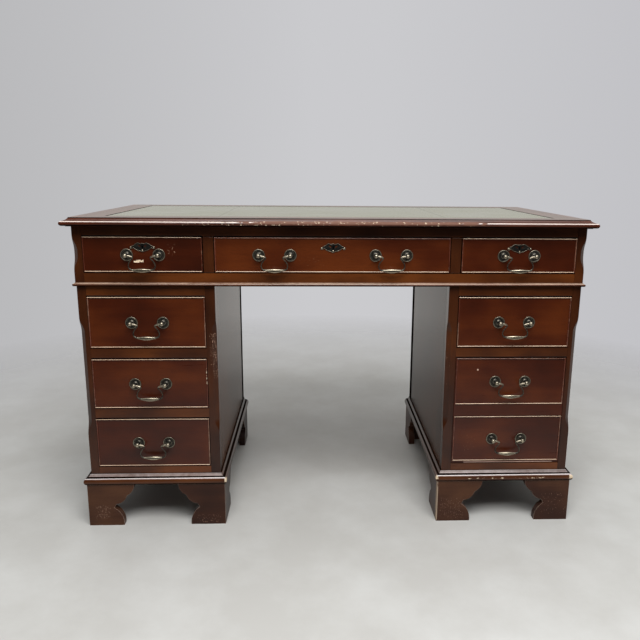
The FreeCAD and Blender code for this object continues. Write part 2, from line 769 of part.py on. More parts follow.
for hand, sign in (("low", "-"), ("high", "")):
    pin_place = (sign + "escutcheon_ear", "-escutcheon_thickness", "-escutcheon_ear_drop")
    eye_hole = round_bar("plate_eye_" + hand, "escutcheon_eye_radius", plate_bore, TOWARDS_FRONT)
    plate_cutters.append(place(eye_hole, sign + "escutcheon_eye", "cutter_overrun"))
    pin_hole = round_bar("plate_pin_hole_" + hand, "pin_radius", plate_bore, TOWARDS_FRONT)
    plate_cutters.append(place(pin_hole, pin_place[0], "cutter_overrun", pin_place[2]))
    pin_shank = round_bar("pin_shank_" + hand, "pin_radius", "escutcheon_thickness", TOWARDS_FRONT)
    place(pin_shank, pin_place[0], "0", pin_place[2])
    pin_head = turned(ball("pin_head_" + hand, "pin_head"), TOWARDS_FRONT)
    pin_head.Angle1 = 0
    pins.append(joined("pin_" + hand, [pin_shank, place(pin_head, *pin_place)]))
escutcheon = doc.addObject("Part::Compound", "escutcheon")
escutcheon.Links = [cut("pierced_plate", plate_blank, plate_cutters)] + pins
doc.recompute()


def cockbead(name, x, z, face, depth):
    """Thin beads mitred round a field, let in by a depth, with a rounded nose proud of the face."""
    width = number("cockbead_width")
    nose_foot = number("%s + cockbead_proud - cockbead_width / 2" % depth)
    section = [(0, 0), (width, 0), (width, nose_foot), (0, nose_foot, width / 2)]
    inner_x = ("%s + cockbead_width" % x[0], "%s - cockbead_width" % x[1])
    inner_z = ("%s + cockbead_width" % z[0], "%s - cockbead_width" % z[1])
    return moulded_frame(name + "_bead", section, inner_x, inner_z, "%s + %s" % (face, depth), upright=True)


def drawer_box(name, opening, floor, front_back, height):
    """Two grooved sides, a back, and a thin bottom that is let into the sides and the front."""
    low, high = box_sides(opening)
    inside = ("%s + drawer_side" % low, "%s - drawer_side" % high)
    depth = (front_back, "back_face - drawer_rear_gap")
    foot = "%s + runner_clearance" % floor
    head = "%s + %s - box_headroom" % (floor, height)
    bottom_z = (foot + " + bottom_rise", foot + " + bottom_rise + drawer_bottom")
    bottom_x = ("%s - bottom_groove" % inside[0], "%s + bottom_groove" % inside[1])
    bottom = board(name + "_bottom", bottom_x, ("%s - bottom_groove" % depth[0], depth[1]), bottom_z)
    pieces = [bottom]
    for hand, across in (("low", (low, inside[0])), ("high", (inside[1], high))):
        blank = board("%s_side_%s_blank" % (name, hand), across, depth, (foot, head))
        pieces.append(cut("%s_side_%s" % (name, hand), blank, [bottom]))
    back_y = ("%s - drawer_back" % depth[1], depth[1])
    pieces.append(board(name + "_back", inside, back_y, (bottom_z[1], head)))
    node(name + "_box", pieces)
    return bottom


def pull(name, middle, axis_height, face):
    """Two turned posts with their rosettes and nuts, the bail between them, and the holes for the shanks."""
    posts = []
    holes = []
    for hand, sign in (("low", "-"), ("high", "+")):
        x = "%s %s pull_spacing / 2" % (middle, sign)
        for master in (rosette, post, nut):
            piece = formed("%s_%s_%s" % (name, hand, master.Name), master.Shape)
            posts.append(place(piece, x, face, axis_height))
        hole_length = "front_thickness + 2 * cutter_overrun"
        hole = round_bar("%s_%s_hole" % (name, hand), shank_bore, hole_length, TOWARDS_FRONT)
        holes.append(place(hole, x, "%s + front_thickness + cutter_overrun" % face, axis_height))
    node(name, [place(formed(name + "_wire", bail), middle, "%s - post_reach" % face, axis_height)])
    return posts, holes


def lock(name, middle, head, face):
    """A drawer lock: its case behind the front, the bolt that shoots up behind the rail, and the escutcheon.

    It gives back the cutters for the keyhole in the front.
    """
    front_back = "%s + front_thickness" % face
    bolt_y = ("%s + frame_depth + bolt_gap" % face, "%s + frame_depth + bolt_gap + bolt_thickness" % face)
    bolt_x = ("%s - bolt_width / 2" % middle, "%s + bolt_width / 2" % middle)
    case = board(
        name + "_lock_blank",
        ("%s - lock_width / 2" % middle, "%s + lock_width / 2" % middle),
        (front_back, "%s + lock_wall" % bolt_y[1]),
        ("%s - lock_height" % head, head),
    )
    channel = board(
        name + "_lock_channel",
        ("%s - bolt_clearance" % bolt_x[0], "%s + bolt_clearance" % bolt_x[1]),
        ("%s - bolt_clearance" % bolt_y[0], "%s + bolt_clearance" % bolt_y[1]),
        ("%s - lock_height + lock_bottom_wall" % head, "%s + cutter_overrun" % head),
    )
    node(name + "_lock_case", [cut(name + "_lock_body", case, [channel])])
    node(name + "_lock_bolt", [board(name + "_bolt_bar", bolt_x, bolt_y, ("%s - bolt_height" % head, head))])

    key_height = "%s - keyhole_drop" % head
    plate = formed(name + "_key_plate", escutcheon.Shape)
    node(name + "_escutcheon", [place(plate, middle, face, key_height)])
    hole_length = "front_thickness + 2 * cutter_overrun"
    key_round = round_bar(name + "_key_round", "keyhole_radius", hole_length, TOWARDS_FRONT)
    place(key_round, middle, "%s + cutter_overrun" % front_back, key_height)
    key_slot = board(
        name + "_key_slot",
        ("%s - key_slot_width / 2" % middle, "%s + key_slot_width / 2" % middle),
        ("%s - cutter_overrun" % face, "%s + cutter_overrun" % front_back),
        ("%s - key_slot_length" % key_height, key_height),
    )
    return [key_round, key_slot]


def drawer(name, opening, floor, face, height, pulls, locked=False, mock=False):
    """A drawer: its front with cockbeads, its box, its pulls and, where it has one, its lock.

    pulls maps the name of each bail to the middle and the height of its hinge line. A mock front is one
    wide board that looks like two, with two beaded fields planted on it.
    """
    x = ("%s + front_gap" % opening[0], "%s - front_gap" % opening[1])
    z = ("%s + front_gap" % floor, "%s + front_gap + %s" % (floor, height))
    front_back = "%s + front_thickness" % face
    cutters = [drawer_box(name, opening, floor, front_back, height)]
    all_posts = []
    for bail_name, (middle, axis_height) in pulls.items():
        posts, holes = pull(bail_name, middle, axis_height, face)
        all_posts += posts
        cutters += holes
    if locked:
        cutters += lock(name, "((%s) + (%s)) / 2" % opening, z[1], face)
    if mock:
        field_x = ("%s + mock_margin" % x[0], "%s - mock_margin" % x[1])
        lower_z = ("%s + mock_sill" % z[0], "%s + mock_sill + mock_height" % z[0])
        upper_z = ("%s - mock_height" % z[1], z[1])
        beads = cockbead(name + "_lower_field", field_x, lower_z, face, "0")
        beads += cockbead(name + "_upper_field", field_x, upper_z, face, "0")
        core_x, core_z = x, z
    else:
        beads = cockbead(name, x, z, face, "front_thickness")
        core_x = ("%s + cockbead_width" % x[0], "%s - cockbead_width" % x[1])
        core_z = ("%s + cockbead_width" % z[0], "%s - cockbead_width" % z[1])
    core = board(name + "_core_blank", core_x, (face, front_back), core_z)
    node(name + "_front", [cut(name + "_core", core, cutters)] + beads)
    node(name + "_pull_posts", all_posts)


def pull_height(foot, height):
    """The hinge line of a pull, a little above the middle of a field."""
    return "%s + %s / 2 - pull_drop" % (foot, height)


frieze_bails = {
    "left_frieze": {"left_frieze_bail": "-side_opening_middle"},
    "centre_frieze": {
        "centre_frieze_left_bail": "-centre_pull_offset",
        "centre_frieze_right_bail": "centre_pull_offset",
    },
    "right_frieze": {"right_frieze_bail": "side_opening_middle"},
}
frieze_axis = pull_height("frieze_floor + front_gap", "frieze_front_height")
for name, opening in frieze_spans.items():
    pulls = {bail_name: (middle, frieze_axis) for bail_name, middle in frieze_bails[name].items()}
    drawer(name, opening, "frieze_floor", "case_front", "frieze_front_height", pulls, locked=True)

for side, floors in FLOORS.items():
    opening = pedestal_openings[side]
    middle = "((%s) + (%s)) / 2" % opening
    for level, floor in floors.items():
        name = side + "_" + level
        foot = floor + " + front_gap"
        if level == "file":
            upper_foot = foot + " + file_front_height - mock_height"
            pulls = {
                name + "_upper_bail": (middle, pull_height(upper_foot, "mock_height")),
                name + "_lower_bail": (middle, pull_height(foot + " + mock_sill", "mock_height")),
            }
            drawer(name, opening, floor, "pedestal_front", "file_front_height", pulls, mock=True)
        else:
            pulls = {name + "_bail": (middle, pull_height(foot, "drawer_front_height"))}
            drawer(name, opening, floor, "pedestal_front", "drawer_front_height", pulls)

doc.recompute()
for piece in doc.Objects:
    if "Invalid" in piece.State or "Error" in piece.State:
        raise RuntimeError("%s did not build: %s" % (piece.Name, piece.State))
for piece in nodes:
    if piece.Shape.isNull() or not piece.Shape.isValid() or not piece.Shape.Solids:
        raise RuntimeError("%s has no valid solid" % piece.Label)

os.makedirs("parts", exist_ok=True)
for piece in nodes:
    piece.Shape.exportStep("parts/%s.step" % piece.Label)
print("%d sub-parts, %d solids" % (len(nodes), sum(len(piece.Shape.Solids) for piece in nodes)))
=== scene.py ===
import math
import random

import bmesh
import bpy
from mathutils import Matrix, Vector


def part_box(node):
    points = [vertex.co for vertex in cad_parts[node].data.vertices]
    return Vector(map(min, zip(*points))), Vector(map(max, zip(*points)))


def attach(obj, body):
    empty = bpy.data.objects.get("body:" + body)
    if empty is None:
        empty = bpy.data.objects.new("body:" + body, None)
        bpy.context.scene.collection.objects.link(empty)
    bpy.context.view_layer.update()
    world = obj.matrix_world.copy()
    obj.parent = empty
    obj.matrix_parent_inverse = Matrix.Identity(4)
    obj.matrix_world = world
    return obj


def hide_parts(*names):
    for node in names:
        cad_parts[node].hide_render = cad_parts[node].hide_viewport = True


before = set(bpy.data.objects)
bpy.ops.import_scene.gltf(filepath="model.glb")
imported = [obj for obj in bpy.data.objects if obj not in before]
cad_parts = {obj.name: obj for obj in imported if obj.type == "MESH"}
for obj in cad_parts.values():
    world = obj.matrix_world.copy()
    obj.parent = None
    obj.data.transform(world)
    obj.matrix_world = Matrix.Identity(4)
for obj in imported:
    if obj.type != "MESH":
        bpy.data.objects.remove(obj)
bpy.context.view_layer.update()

scene = bpy.context.scene

# Viewpoint. The camera stood about a metre and a half in front of the desk, just above the height of its top
# and a little left of its middle, looking slightly down. The picture is square.
picture_side = 640
lens_in_pixels = 662.61
optical_middle = 340.08
sensor_width = 36.0
camera_place = (-0.0477, -1.8002, 0.8655)
camera_heading = -2.44
camera_dip = 12.67
camera_lean = 0.49
camera_data = bpy.data.cameras.new("viewpoint")
camera_data.sensor_width = sensor_width
camera_data.lens = lens_in_pixels / picture_side * sensor_width
camera_data.shift_x = 0.5 - optical_middle / picture_side
camera = bpy.data.objects.new("viewpoint", camera_data)
camera.matrix_world = (
    Matrix.Translation(camera_place)
    @ Matrix.Rotation(math.radians(camera_heading), 4, "Z")
    @ Matrix.Rotation(math.radians(90 - camera_dip), 4, "X")
    @ Matrix.Rotation(math.radians(camera_lean), 4, "Z")
)
scene.collection.objects.link(camera)
scene.camera = camera

# Studio. A matt pale grey floor that fades into a grey surround. A large soft box lights the front from
# above, and a weaker one hangs over the desk. The polish mirrors a room that is bright at its far side and
# dark at its near side, while most of the light that the room sheds comes from the near side.
surround_left = "b8b8ba"
surround_middle = "cacacd"
surround_right = "c1c1c5"
near_mirrored = "232120"
far_mirrored = "e4e2de"
near_light = "787878"
far_light = "333333"
floor_grey = "bdbcb8"
floor_worn = "c9c9c6"
floor_roughness = 0.55
floor_reach = 7.0
floor_sides = 96
fade_start = 0.95
fade_end = 2.2


def linear(code):
    """A colour written as six hex digits, as amounts of light."""
    parts = [int(code[i:i + 2], 16) / 255 for i in (0, 2, 4)]
    return tuple(p / 12.92 if p <= 0.04045 else ((p + 0.055) / 1.055) ** 2.4 for p in parts) + (1.0,)


def fill(tree, sockets, inputs):
    """Links each socket that is named to the output it is given, or sets it to a plain value."""
    for key, value in inputs.items():
        if isinstance(value, bpy.types.NodeSocket):
            tree.links.new(value, sockets[key])
        else:
            sockets[key].default_value = value


def add(tree, kind, inputs=None, **settings):
    """A node of that kind, with its settings and its inputs."""
    made = tree.nodes.new(kind)
    for name, value in settings.items():
        setattr(made, name, value)
    fill(tree, made.inputs, inputs or {})
    return made


def between(tree, value, low, high, start=0.0, end=1.0):
    """A value that goes evenly from start to end while another goes from low to high."""
    return add(tree, "ShaderNodeMapRange", {0: value, 1: low, 2: high, 3: start, 4: end}).outputs[0]


def noise(tree, vector, scale, detail=2.0, roughness=0.5):
    """A soft random value from 0 to 1 over a vector."""
    inputs = {"Vector": vector, "Scale": scale, "Detail": detail, "Roughness": roughness}
    return add(tree, "ShaderNodeTexNoise", inputs).outputs[0]


def blended(tree, amount, first, second):
    """The first colour with an amount of the second laid over it."""
    return add(tree, "ShaderNodeMix", {0: amount, 6: first, 7: second}, data_type="RGBA").outputs[2]


def new_material(name):
    """A material, its node tree, its shader's inputs, and the place on a piece that its patterns follow."""
    made = bpy.data.materials.new(name)
    made.use_nodes = True
    tree = made.node_tree
    position = add(tree, "ShaderNodeTexCoord").outputs["Object"]
    return made, tree, tree.nodes["Principled BSDF"].inputs, position


def soft_box(name, place, aim, width, depth, power):
    """A rectangular studio light that hangs at a place and faces a point."""
    light = bpy.data.lights.new(name, "AREA")
    light.shape = "RECTANGLE"
    light.size = width
    light.size_y = depth
    light.energy = power
    lamp = bpy.data.objects.new(name, light)
    facing = (Vector(aim) - Vector(place)).to_track_quat("-Z", "Y").to_matrix().to_4x4()
    lamp.matrix_world = Matrix.Translation(place) @ facing
    scene.collection.objects.link(lamp)


surround = bpy.data.worlds.new("studio_surround")
surround.use_nodes = True
tree = surround.node_tree
direction = add(tree, "ShaderNodeTexCoord").outputs["Generated"]
sideways, backwards = add(tree, "ShaderNodeSeparateXYZ", {0: direction}).outputs[:2]
far_side = between(tree, backwards, -0.1, 0.75)
mirrored = blended(tree, far_side, linear(near_mirrored), linear(far_mirrored))
shed = blended(tree, far_side, linear(near_light), linear(far_light))
ray = add(tree, "ShaderNodeLightPath").outputs
around = blended(tree, ray["Is Glossy Ray"], shed, mirrored)
# The surround that the camera sees is painted with shade: darker at its left, and a little darker at its
# right, than in its middle.
wall = blended(tree, between(tree, sideways, -0.45, 0.0), linear(surround_left), linear(surround_middle))
wall = blended(tree, between(tree, sideways, 0.1, 0.5), wall, linear(surround_right))
around = blended(tree, ray["Is Camera Ray"], around, wall)
tree.links.new(around, tree.nodes["Background"].inputs["Color"])
scene.world = surround
scene.view_settings.view_transform = "Standard"
soft_box("overhead_box", place=(0.1, 0.2, 2.8), aim=(0.0, 0.1, 0.0), width=2.4, depth=1.6, power=34.0)
soft_box("front_box", place=(0.2, -1.75, 2.7), aim=(0.0, -0.3, 0.3), width=2.2, depth=1.3, power=92.0)

floor_paint, tree, surface, position = new_material("studio_floor")
distance = add(tree, "ShaderNodeVectorMath", {0: position}, operation="LENGTH").outputs["Value"]
trodden = between(tree, noise(tree, position, 3.5, 6.0, 0.62), 0.4, 0.65)
fill(tree, surface, {
    "Base Color": blended(tree, trodden, linear(floor_grey), linear(floor_worn)),
    "Roughness": floor_roughness,
    "Alpha": between(tree, distance, fade_start, fade_end, 1.0, 0.0),
})
disc = bmesh.new()
bmesh.ops.create_circle(disc, cap_ends=True, radius=floor_reach, segments=floor_sides)
floor_mesh = bpy.data.meshes.new("studio_floor")
disc.to_mesh(floor_mesh)
disc.free()
floor_mesh.materials.append(floor_paint)
studio_floor = bpy.data.objects.new("studio_floor", floor_mesh)
scene.collection.objects.link(studio_floor)

# Top board. A veneered board with four solid mahogany edge strips round it, mitred at the corners and run
# with a hollow and a bull nose. The polish is a satin lacquer, rubbed pale on the nose and chipped along it.
# The pale nose also stands for its painted highlight, the hollow carries a painted reflection, and the
# underside and the quirk are painted with shade.
hair_round = 0.0006
nose_round = 0.0004
round_steps = 2
round_fullness = 0.6
sharp_corner = math.radians(30)
flat_seam = math.radians(0.6)
grid = 1e6
grain_scatter = 5


def solids_of(node):
    """The closed solids of a node, each as a list of triangles, found by following their open edges."""
    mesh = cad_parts[node].data
    found, triangles, open_edges = [], [], set()
    for face in mesh.polygons:
        points = [tuple(round(c * grid) for c in mesh.vertices[i].co) for i in face.vertices]
        triangles.append(points)
        for start, end in zip(points, points[1:] + points[:1]):
            if (end, start) in open_edges:
                open_edges.remove((end, start))
            else:
                open_edges.add((start, end))
        if not open_edges:
            found.append(triangles)
            triangles = []
    return found


def solid_form(triangles, round_over):
    """One solid with its flat faces made whole and its sharp corners rounded over."""
    form = bmesh.new()
    form.verts.layers.float_vector.new("grain")
    form.verts.layers.float.new("tone")
    edge = form.faces.layers.float.new("edge")
    corners = {}
    for triangle in triangles:
        if len(set(triangle)) < 3:
            continue
        for point in triangle:
            if point not in corners:
                corners[point] = form.verts.new(Vector(point) / grid)
        form.faces.new([corners[point] for point in triangle])
    bmesh.ops.dissolve_limit(form, angle_limit=flat_seam, verts=form.verts, edges=form.edges)
    sharp = [e for e in form.edges if len(e.link_faces) == 2 and e.calc_face_angle() > sharp_corner]
    rounded = bmesh.ops.bevel(
        form, geom=sharp, offset=round_over, offset_type="OFFSET", segments=round_steps,
        profile=round_fullness, affect="EDGES", clamp_overlap=True,
    )
    for face in rounded["faces"]:
        face[edge] = 1.0
    return form


def boards(name, node, round_over=hair_round, along=None, tone=None, finish=None, rub=None, dirt_and_shade_number=0, cuts=()):
    """A mesh of all the boards of a node. Grain runs along a board's length, or along the axis that is named.
    Tone says how light a board is, by its length's axis and its height, or each has its own. Finish gives
    the number of a board's material. Wear_and_painted_light says how pale a face of that board is painted,
    from 0 to 1, as wear and along crests as a highlight and in hollows as a reflection, or that it takes
    dirt and painted shade, and dirt_and_shade_number is the number of that material. Cuts are planes that
    divide the faces, each a point and a direction."""
    chance = random.Random(node)
    whole = bmesh.new()
    part = bpy.data.meshes.new("board")
    for number, triangles in enumerate(solids_of(node)):
        form = solid_form(triangles, round_over)
        for point, direction in cuts:
            everything = form.verts[:] + form.edges[:] + form.faces[:]
            bmesh.ops.bisect_plane(form, geom=everything, plane_co=point, plane_no=direction)
        grain = form.verts.layers.float_vector["grain"]
        shade = form.verts.layers.float["tone"]
        edge = form.faces.layers.float["edge"]
        spans = [max(v.co[i] for v in form.verts) - min(v.co[i] for v in form.verts) for i in range(3)]
        order = sorted(range(3), key=lambda i: -spans[i])
        if along is not None:
            order.remove(along)
            order.insert(0, along)
        shift = Vector([chance.uniform(-grain_scatter, grain_scatter) for i in range(3)])
        own_tone = chance.random()
        if tone:
            own_tone = tone(order[0], sum(v.co.z for v in form.verts) / len(form.verts))
        for vert in form.verts:
            vert[grain] = Vector([vert.co[i] for i in order]) + shift
            vert[shade] = own_tone
        for face in form.faces:
            face.smooth = True
            if finish:
                face.material_index = finish(number)
            if rub:
                face[edge] = rub(number, face)
            if face[edge] < 0:
                face.material_index = dirt_and_shade_number
        form.to_mesh(part)
        form.free()
        whole.from_mesh(part)
    mesh = bpy.data.meshes.new(name)
    whole.to_mesh(mesh)
    whole.free()
    bpy.data.meshes.remove(part)
    return mesh


def piece(mesh, materials, body, slot, *nodes):
    """The finished piece: its mesh in place, on its body, standing for its nodes."""
    made = bpy.data.objects.new(mesh.name, mesh)
    scene.collection.objects.link(made)
    for material in materials:
        mesh.materials.append(material)
    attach(made, body)
    if nodes:
        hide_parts(*nodes)
    return made


def wooden(node, materials, body="carcase", slot="mahogany", **making):
    """A wooden piece in place of a node, its flat faces shaded flat up to the rounded corners. Where it takes
    dirt and painted shade, the last of its materials is that dark material."""
    mesh = boards(node + "_wood", node, dirt_and_shade_number=len(materials) - 1, **making)
    made = piece(mesh, materials, body, slot, node)
    made.modifiers.new("flat_faces", "WEIGHTED_NORMAL").keep_sharp = True


def group(name, inputs, outputs):
    """A shader node group: its tree, its inputs and its outputs."""
    made = bpy.data.node_groups.new(name, "ShaderNodeTree")
    for label, kind in inputs:
        made.interface.new_socket(label, in_out="INPUT", socket_type="NodeSocket" + kind)
    for label in outputs:
        made.interface.new_socket(label, in_out="OUTPUT", socket_type="NodeSocketFloat")
    return made, made.nodes.new("NodeGroupInput").outputs, made.nodes.new("NodeGroupOutput").inputs


def calc(tree, operation, first, second):
    """A value worked out from two others."""
    return add(tree, "ShaderNodeMath", {0: first, 1: second}, operation=operation).outputs[0]


def vector_calc(tree, operation, first, second):
    """A vector worked out from two others, axis by axis."""
    return add(tree, "ShaderNodeVectorMath", {0: first, 1: second}, operation=operation).outputs[0]


def added(tree, value, other, share):
    """A value with a share of another added to it."""
    return calc(tree, "ADD", value, calc(tree, "MULTIPLY", other, share))


def stretched_noise(tree, vector, stretch, detail=2.0, roughness=0.5):
    """Noise with a scale of its own along each axis."""
    return noise(tree, vector_calc(tree, "MULTIPLY", vector, stretch), 1.0, detail, roughness)


def emboss(tree, surface, height, strength, depth):
    """Gives a surface fine relief."""
    bump = add(tree, "ShaderNodeBump", {"Strength": strength, "Distance": depth, "Height": height})
    tree.links.new(bump.outputs[0], surface["Normal"])


# Grain: broad figure and fine fibre that run along the board, cloudy mottling, and short dark pores.
wood_grain, given, result = group("wood_grain", [("Grain", "Vector")], ["Figure", "Fibre", "Pores"])
broad = stretched_noise(wood_grain, given["Grain"], (2.4, 24.0, 24.0), 4.0, 0.6)
fibre = stretched_noise(wood_grain, given["Grain"], (9.0, 210.0, 210.0), 3.0, 0.6)
cloud = stretched_noise(wood_grain, given["Grain"], (7.0, 10.0, 10.0))
pores = stretched_noise(wood_grain, given["Grain"], (90.0, 1900.0, 1900.0), 1.0)
broad_share = 0.3
cloud_share = 0.64
fibre_share = 0.06
figure = calc(wood_grain, "MULTIPLY", broad, broad_share)
figure = added(wood_grain, figure, cloud, cloud_share)
figure = added(wood_grain, figure, fibre, fibre_share)
wood_grain.links.new(figure, result["Figure"])
wood_grain.links.new(fibre, result["Fibre"])
wood_grain.links.new(between(wood_grain, pores, 0.6, 0.72), result["Pores"])

# Rubbed edges and painted highlights: the polish wears through along the rounded corners, unevenly where it
# is only a little rubbed. The same mask paints pale highlights and reflections along the crests and hollows
# of mouldings.
rubbed_edge, given, result = group(
    "rubbed_edge", [("Position", "Vector"), ("Edge", "Float"), ("Amount", "Float")], ["Mask"])
patches = noise(rubbed_edge, given["Position"], 70.0, 4.0, 0.65)
lengths = noise(rubbed_edge, given["Position"], 7.0)
patch_share = 0.2
length_share = 0.3
wear_and_highlight_amount = calc(rubbed_edge, "MULTIPLY", given["Edge"], given["Amount"])
wear_and_highlight_amount = added(rubbed_edge, wear_and_highlight_amount, patches, patch_share)
wear_and_highlight_amount = added(rubbed_edge, wear_and_highlight_amount, lengths, length_share)
rubbed_edge.links.new(between(rubbed_edge, wear_and_highlight_amount, 0.4, 0.8), result["Mask"])

# Damage and painted shade: chips, specks or scratches, or a painted shadow line, of one size inside a box,
# thinning out towards its sides.
damage, given, result = group("damage", [
    ("Position", "Vector"), ("Middle", "Vector"), ("Half Size", "Vector"), ("Stretch", "Vector"),
    ("Cover", "Float"),
], ["Mask"])
offset = vector_calc(damage, "SUBTRACT", given["Position"], given["Middle"])
offset = vector_calc(damage, "DIVIDE", offset, given["Half Size"])
away = add(damage, "ShaderNodeSeparateXYZ", {0: vector_calc(damage, "ABSOLUTE", offset, offset)}).outputs
outermost = calc(damage, "MAXIMUM", calc(damage, "MAXIMUM", away[0], away[1]), away[2])
within = calc(damage, "LESS_THAN", outermost, 1.0)
thinning = between(damage, outermost, 0.55, 1.0, 0.0, 0.6)
spots = stretched_noise(damage, given["Position"], given["Stretch"], roughness=0.6)
spots = calc(damage, "SUBTRACT", calc(damage, "ADD", spots, given["Cover"]), thinning)
damage.links.new(calc(damage, "MULTIPLY", between(damage, spots, 0.96, 1.02), within), result["Mask"])

dark_stop = 0.36
middle_stop = 0.6
light_stop = 0.84
tone_share = 0.22
pore_dark = "1c0a05"
pore_share = 0.4
fibre_dullness = 0.05
mark_dullness = 0.5
fibre_rise = 0.3
wood_relief = 0.0003
mark_parts = ("Middle", "Half Size", "Stretch", "Cover")


def mahogany(name, dark, middle, light, wear_and_highlight_colour="b98a6c", wear_and_highlight=0.2, gloss=0.26, shine=0.5, marks=()):
    """Polished wood. Each mark is a box of damage or of painted shade: its middle, half size, stretch, cover
    and colour.
    """
    material, tree, surface, position = new_material(name)
    grain = add(tree, "ShaderNodeAttribute", attribute_name="grain").outputs["Vector"]
    tone = add(tree, "ShaderNodeAttribute", attribute_name="tone").outputs["Fac"]
    edge = add(tree, "ShaderNodeAttribute", attribute_name="edge").outputs["Fac"]
    wood = add(tree, "ShaderNodeGroup", {"Grain": grain}, node_tree=wood_grain)
    ramp = add(tree, "ShaderNodeValToRGB", {0: added(tree, wood.outputs["Figure"], tone, tone_share)})
    stops = ramp.color_ramp.elements
    stops[0].position = dark_stop
    stops[0].color = linear(dark)
    stops[1].position = light_stop
    stops[1].color = linear(light)
    stops.new(middle_stop).color = linear(middle)
    pore_depth = calc(tree, "MULTIPLY", wood.outputs["Pores"], pore_share)
    colour = blended(tree, pore_depth, ramp.outputs[0], linear(pore_dark))
    # The pale colour stands for worn polish and, along moulding crests and hollows, for painted highlights.
    inputs = {"Position": position, "Edge": edge, "Amount": wear_and_highlight}
    rub = add(tree, "ShaderNodeGroup", inputs, node_tree=rubbed_edge)
    colour = blended(tree, rub.outputs["Mask"], colour, linear(wear_and_highlight_colour))
    rough = added(tree, gloss, wood.outputs["Fibre"], fibre_dullness)
    for *box, tint in marks:
        inputs = {"Position": position, **dict(zip(mark_parts, box))}
        mask = add(tree, "ShaderNodeGroup", inputs, node_tree=damage).outputs["Mask"]
        colour = blended(tree, mask, colour, linear(tint))
        rough = added(tree, rough, mask, mark_dullness)
    fill(tree, surface, {"Base Color": colour, "Roughness": rough, "Specular IOR Level": shine})
    raised = calc(tree, "MULTIPLY", wood.outputs["Fibre"], fibre_rise)
    height = calc(tree, "SUBTRACT", raised, wood.outputs["Pores"])
    emboss(tree, surface, height, strength=0.05, depth=wood_relief)
    return material


# Dirt and painted shade: nearly black and quite dull. It stands for old wax and dust where a cloth doesn't
# reach, and it is also painted as shade into gaps, grooves and recesses and under mouldings.
shade_and_dirt_dark = "0a0503"
shade_and_dirt_dusty = "1c100a"
settled_dirt, tree, surface, position = new_material("settled_dirt")
speckle = noise(tree, position, 160.0, 4.0, 0.6)
shade_and_dirt_colour = blended(tree, speckle, linear(shade_and_dirt_dark), linear(shade_and_dirt_dusty))
fill(tree, surface, {"Base Color": shade_and_dirt_colour, "Roughness": 0.9, "Specular IOR Level": 0.0})
# A face given this value takes the dark material of dirt and painted shade.
dirt_and_shade = -1.0


def crest_wear_and_highlight(face, lean, spread):
    """How pale a moulding is painted, as wear from a hand and as its highlight: most along its crest, which
    leans up and outwards.
    """
    return max(0.0, 1.0 - abs(face.normal.z - lean) / spread)


top_nose = 0.7528
top_quirk = 0.7584
underside = -0.45
steep = 0.8
hollow_wear_and_reflection = 0.13
bed_half_width = 0.53
bed_wall = 0.5


def top_wear_and_painted_light(number, face):
    """The top's nose is painted pale, as wear and as its highlight, and the hollow above it less, as wear and
    a painted reflection. The underside and the quirk take painted shade.
    """
    height = face.calc_center_median().z
    if face.normal.z < underside:
        return dirt_and_shade
    if height < top_nose:
        return crest_wear_and_highlight(face, lean=0.8, spread=0.2)
    if height < top_quirk:
        return hollow_wear_and_reflection
    return dirt_and_shade if abs(face.normal.z) < steep else 0.0


def shaded_bed_walls(number, face):
    """The walls of the bed that holds the leather are painted dark as shade, where the leather meets the
    board.
    """
    in_bed = abs(face.calc_center_median().x) < bed_half_width
    return dirt_and_shade if in_bed and abs(face.normal.z) < bed_wall else 0.0


cream = "d8c4a8"
nose_brown = "644030"
nose_chips = (
    ((0.07, -0.3, 0.7505), (0.4, 0.02, 0.005), (40.0, 60.0, 60.0), 0.66, nose_brown),
    ((0.0, -0.3, 0.7465), (0.6, 0.02, 0.004), (150.0, 60.0, 210.0), 0.31, cream),
    ((-0.2, -0.3, 0.7465), (0.25, 0.02, 0.004), (170.0, 60.0, 210.0), 0.36, cream),
    ((0.0, -0.3, 0.7515), (0.5, 0.02, 0.003), (170.0, 60.0, 210.0), 0.34, cream),
)
top_veneer = mahogany("top_veneer", "3a1c0c", "4a2510", "5e3518")
edge_wood = mahogany("edge_wood", "2e1107", "481d0b", "6a3416", wear_and_highlight_colour="ecded4", wear_and_highlight=0.75, marks=nose_chips)
wooden("top_board", [top_veneer, settled_dirt], rub=shaded_bed_walls)
wooden("top_edge_moulding", [edge_wood, settled_dirt], round_over=nose_round, rub=top_wear_and_painted_light)

# Writing leather. Three skins of green leather glued into a shallow bed in the board, their edges turned
# down where they meet its walls and each other. The green is patchy and scuffed with use.
leather_top = 0.7597
leather_bed = 0.7585
leather_seams = (-0.528, -0.267, 0.267, 0.528)
leather_half_depth = 0.232
skin_gap = 0.0002
turned_edge = 0.006
seam_edge = 0.0012
seam_dark = 0.5
turned_dark = 0.5
still_flat = 0.01
steps_across = 12
steps_deep = 16
tooling_inset = 0.021
tooling_sunk = 0.0003


def stations(low, high, low_turn, high_turn, steps):
    """Places along one side of a skin: close together where it turns down at either end, and even between."""
    shares = (0.0, 0.25, 0.45, 0.7, 1.0)
    flat = high - high_turn - low - low_turn
    middle = [low + low_turn + flat * i / steps for i in range(1, steps)]
    return [low + low_turn * s for s in shares] + middle + [high - high_turn * s for s in reversed(shares)]


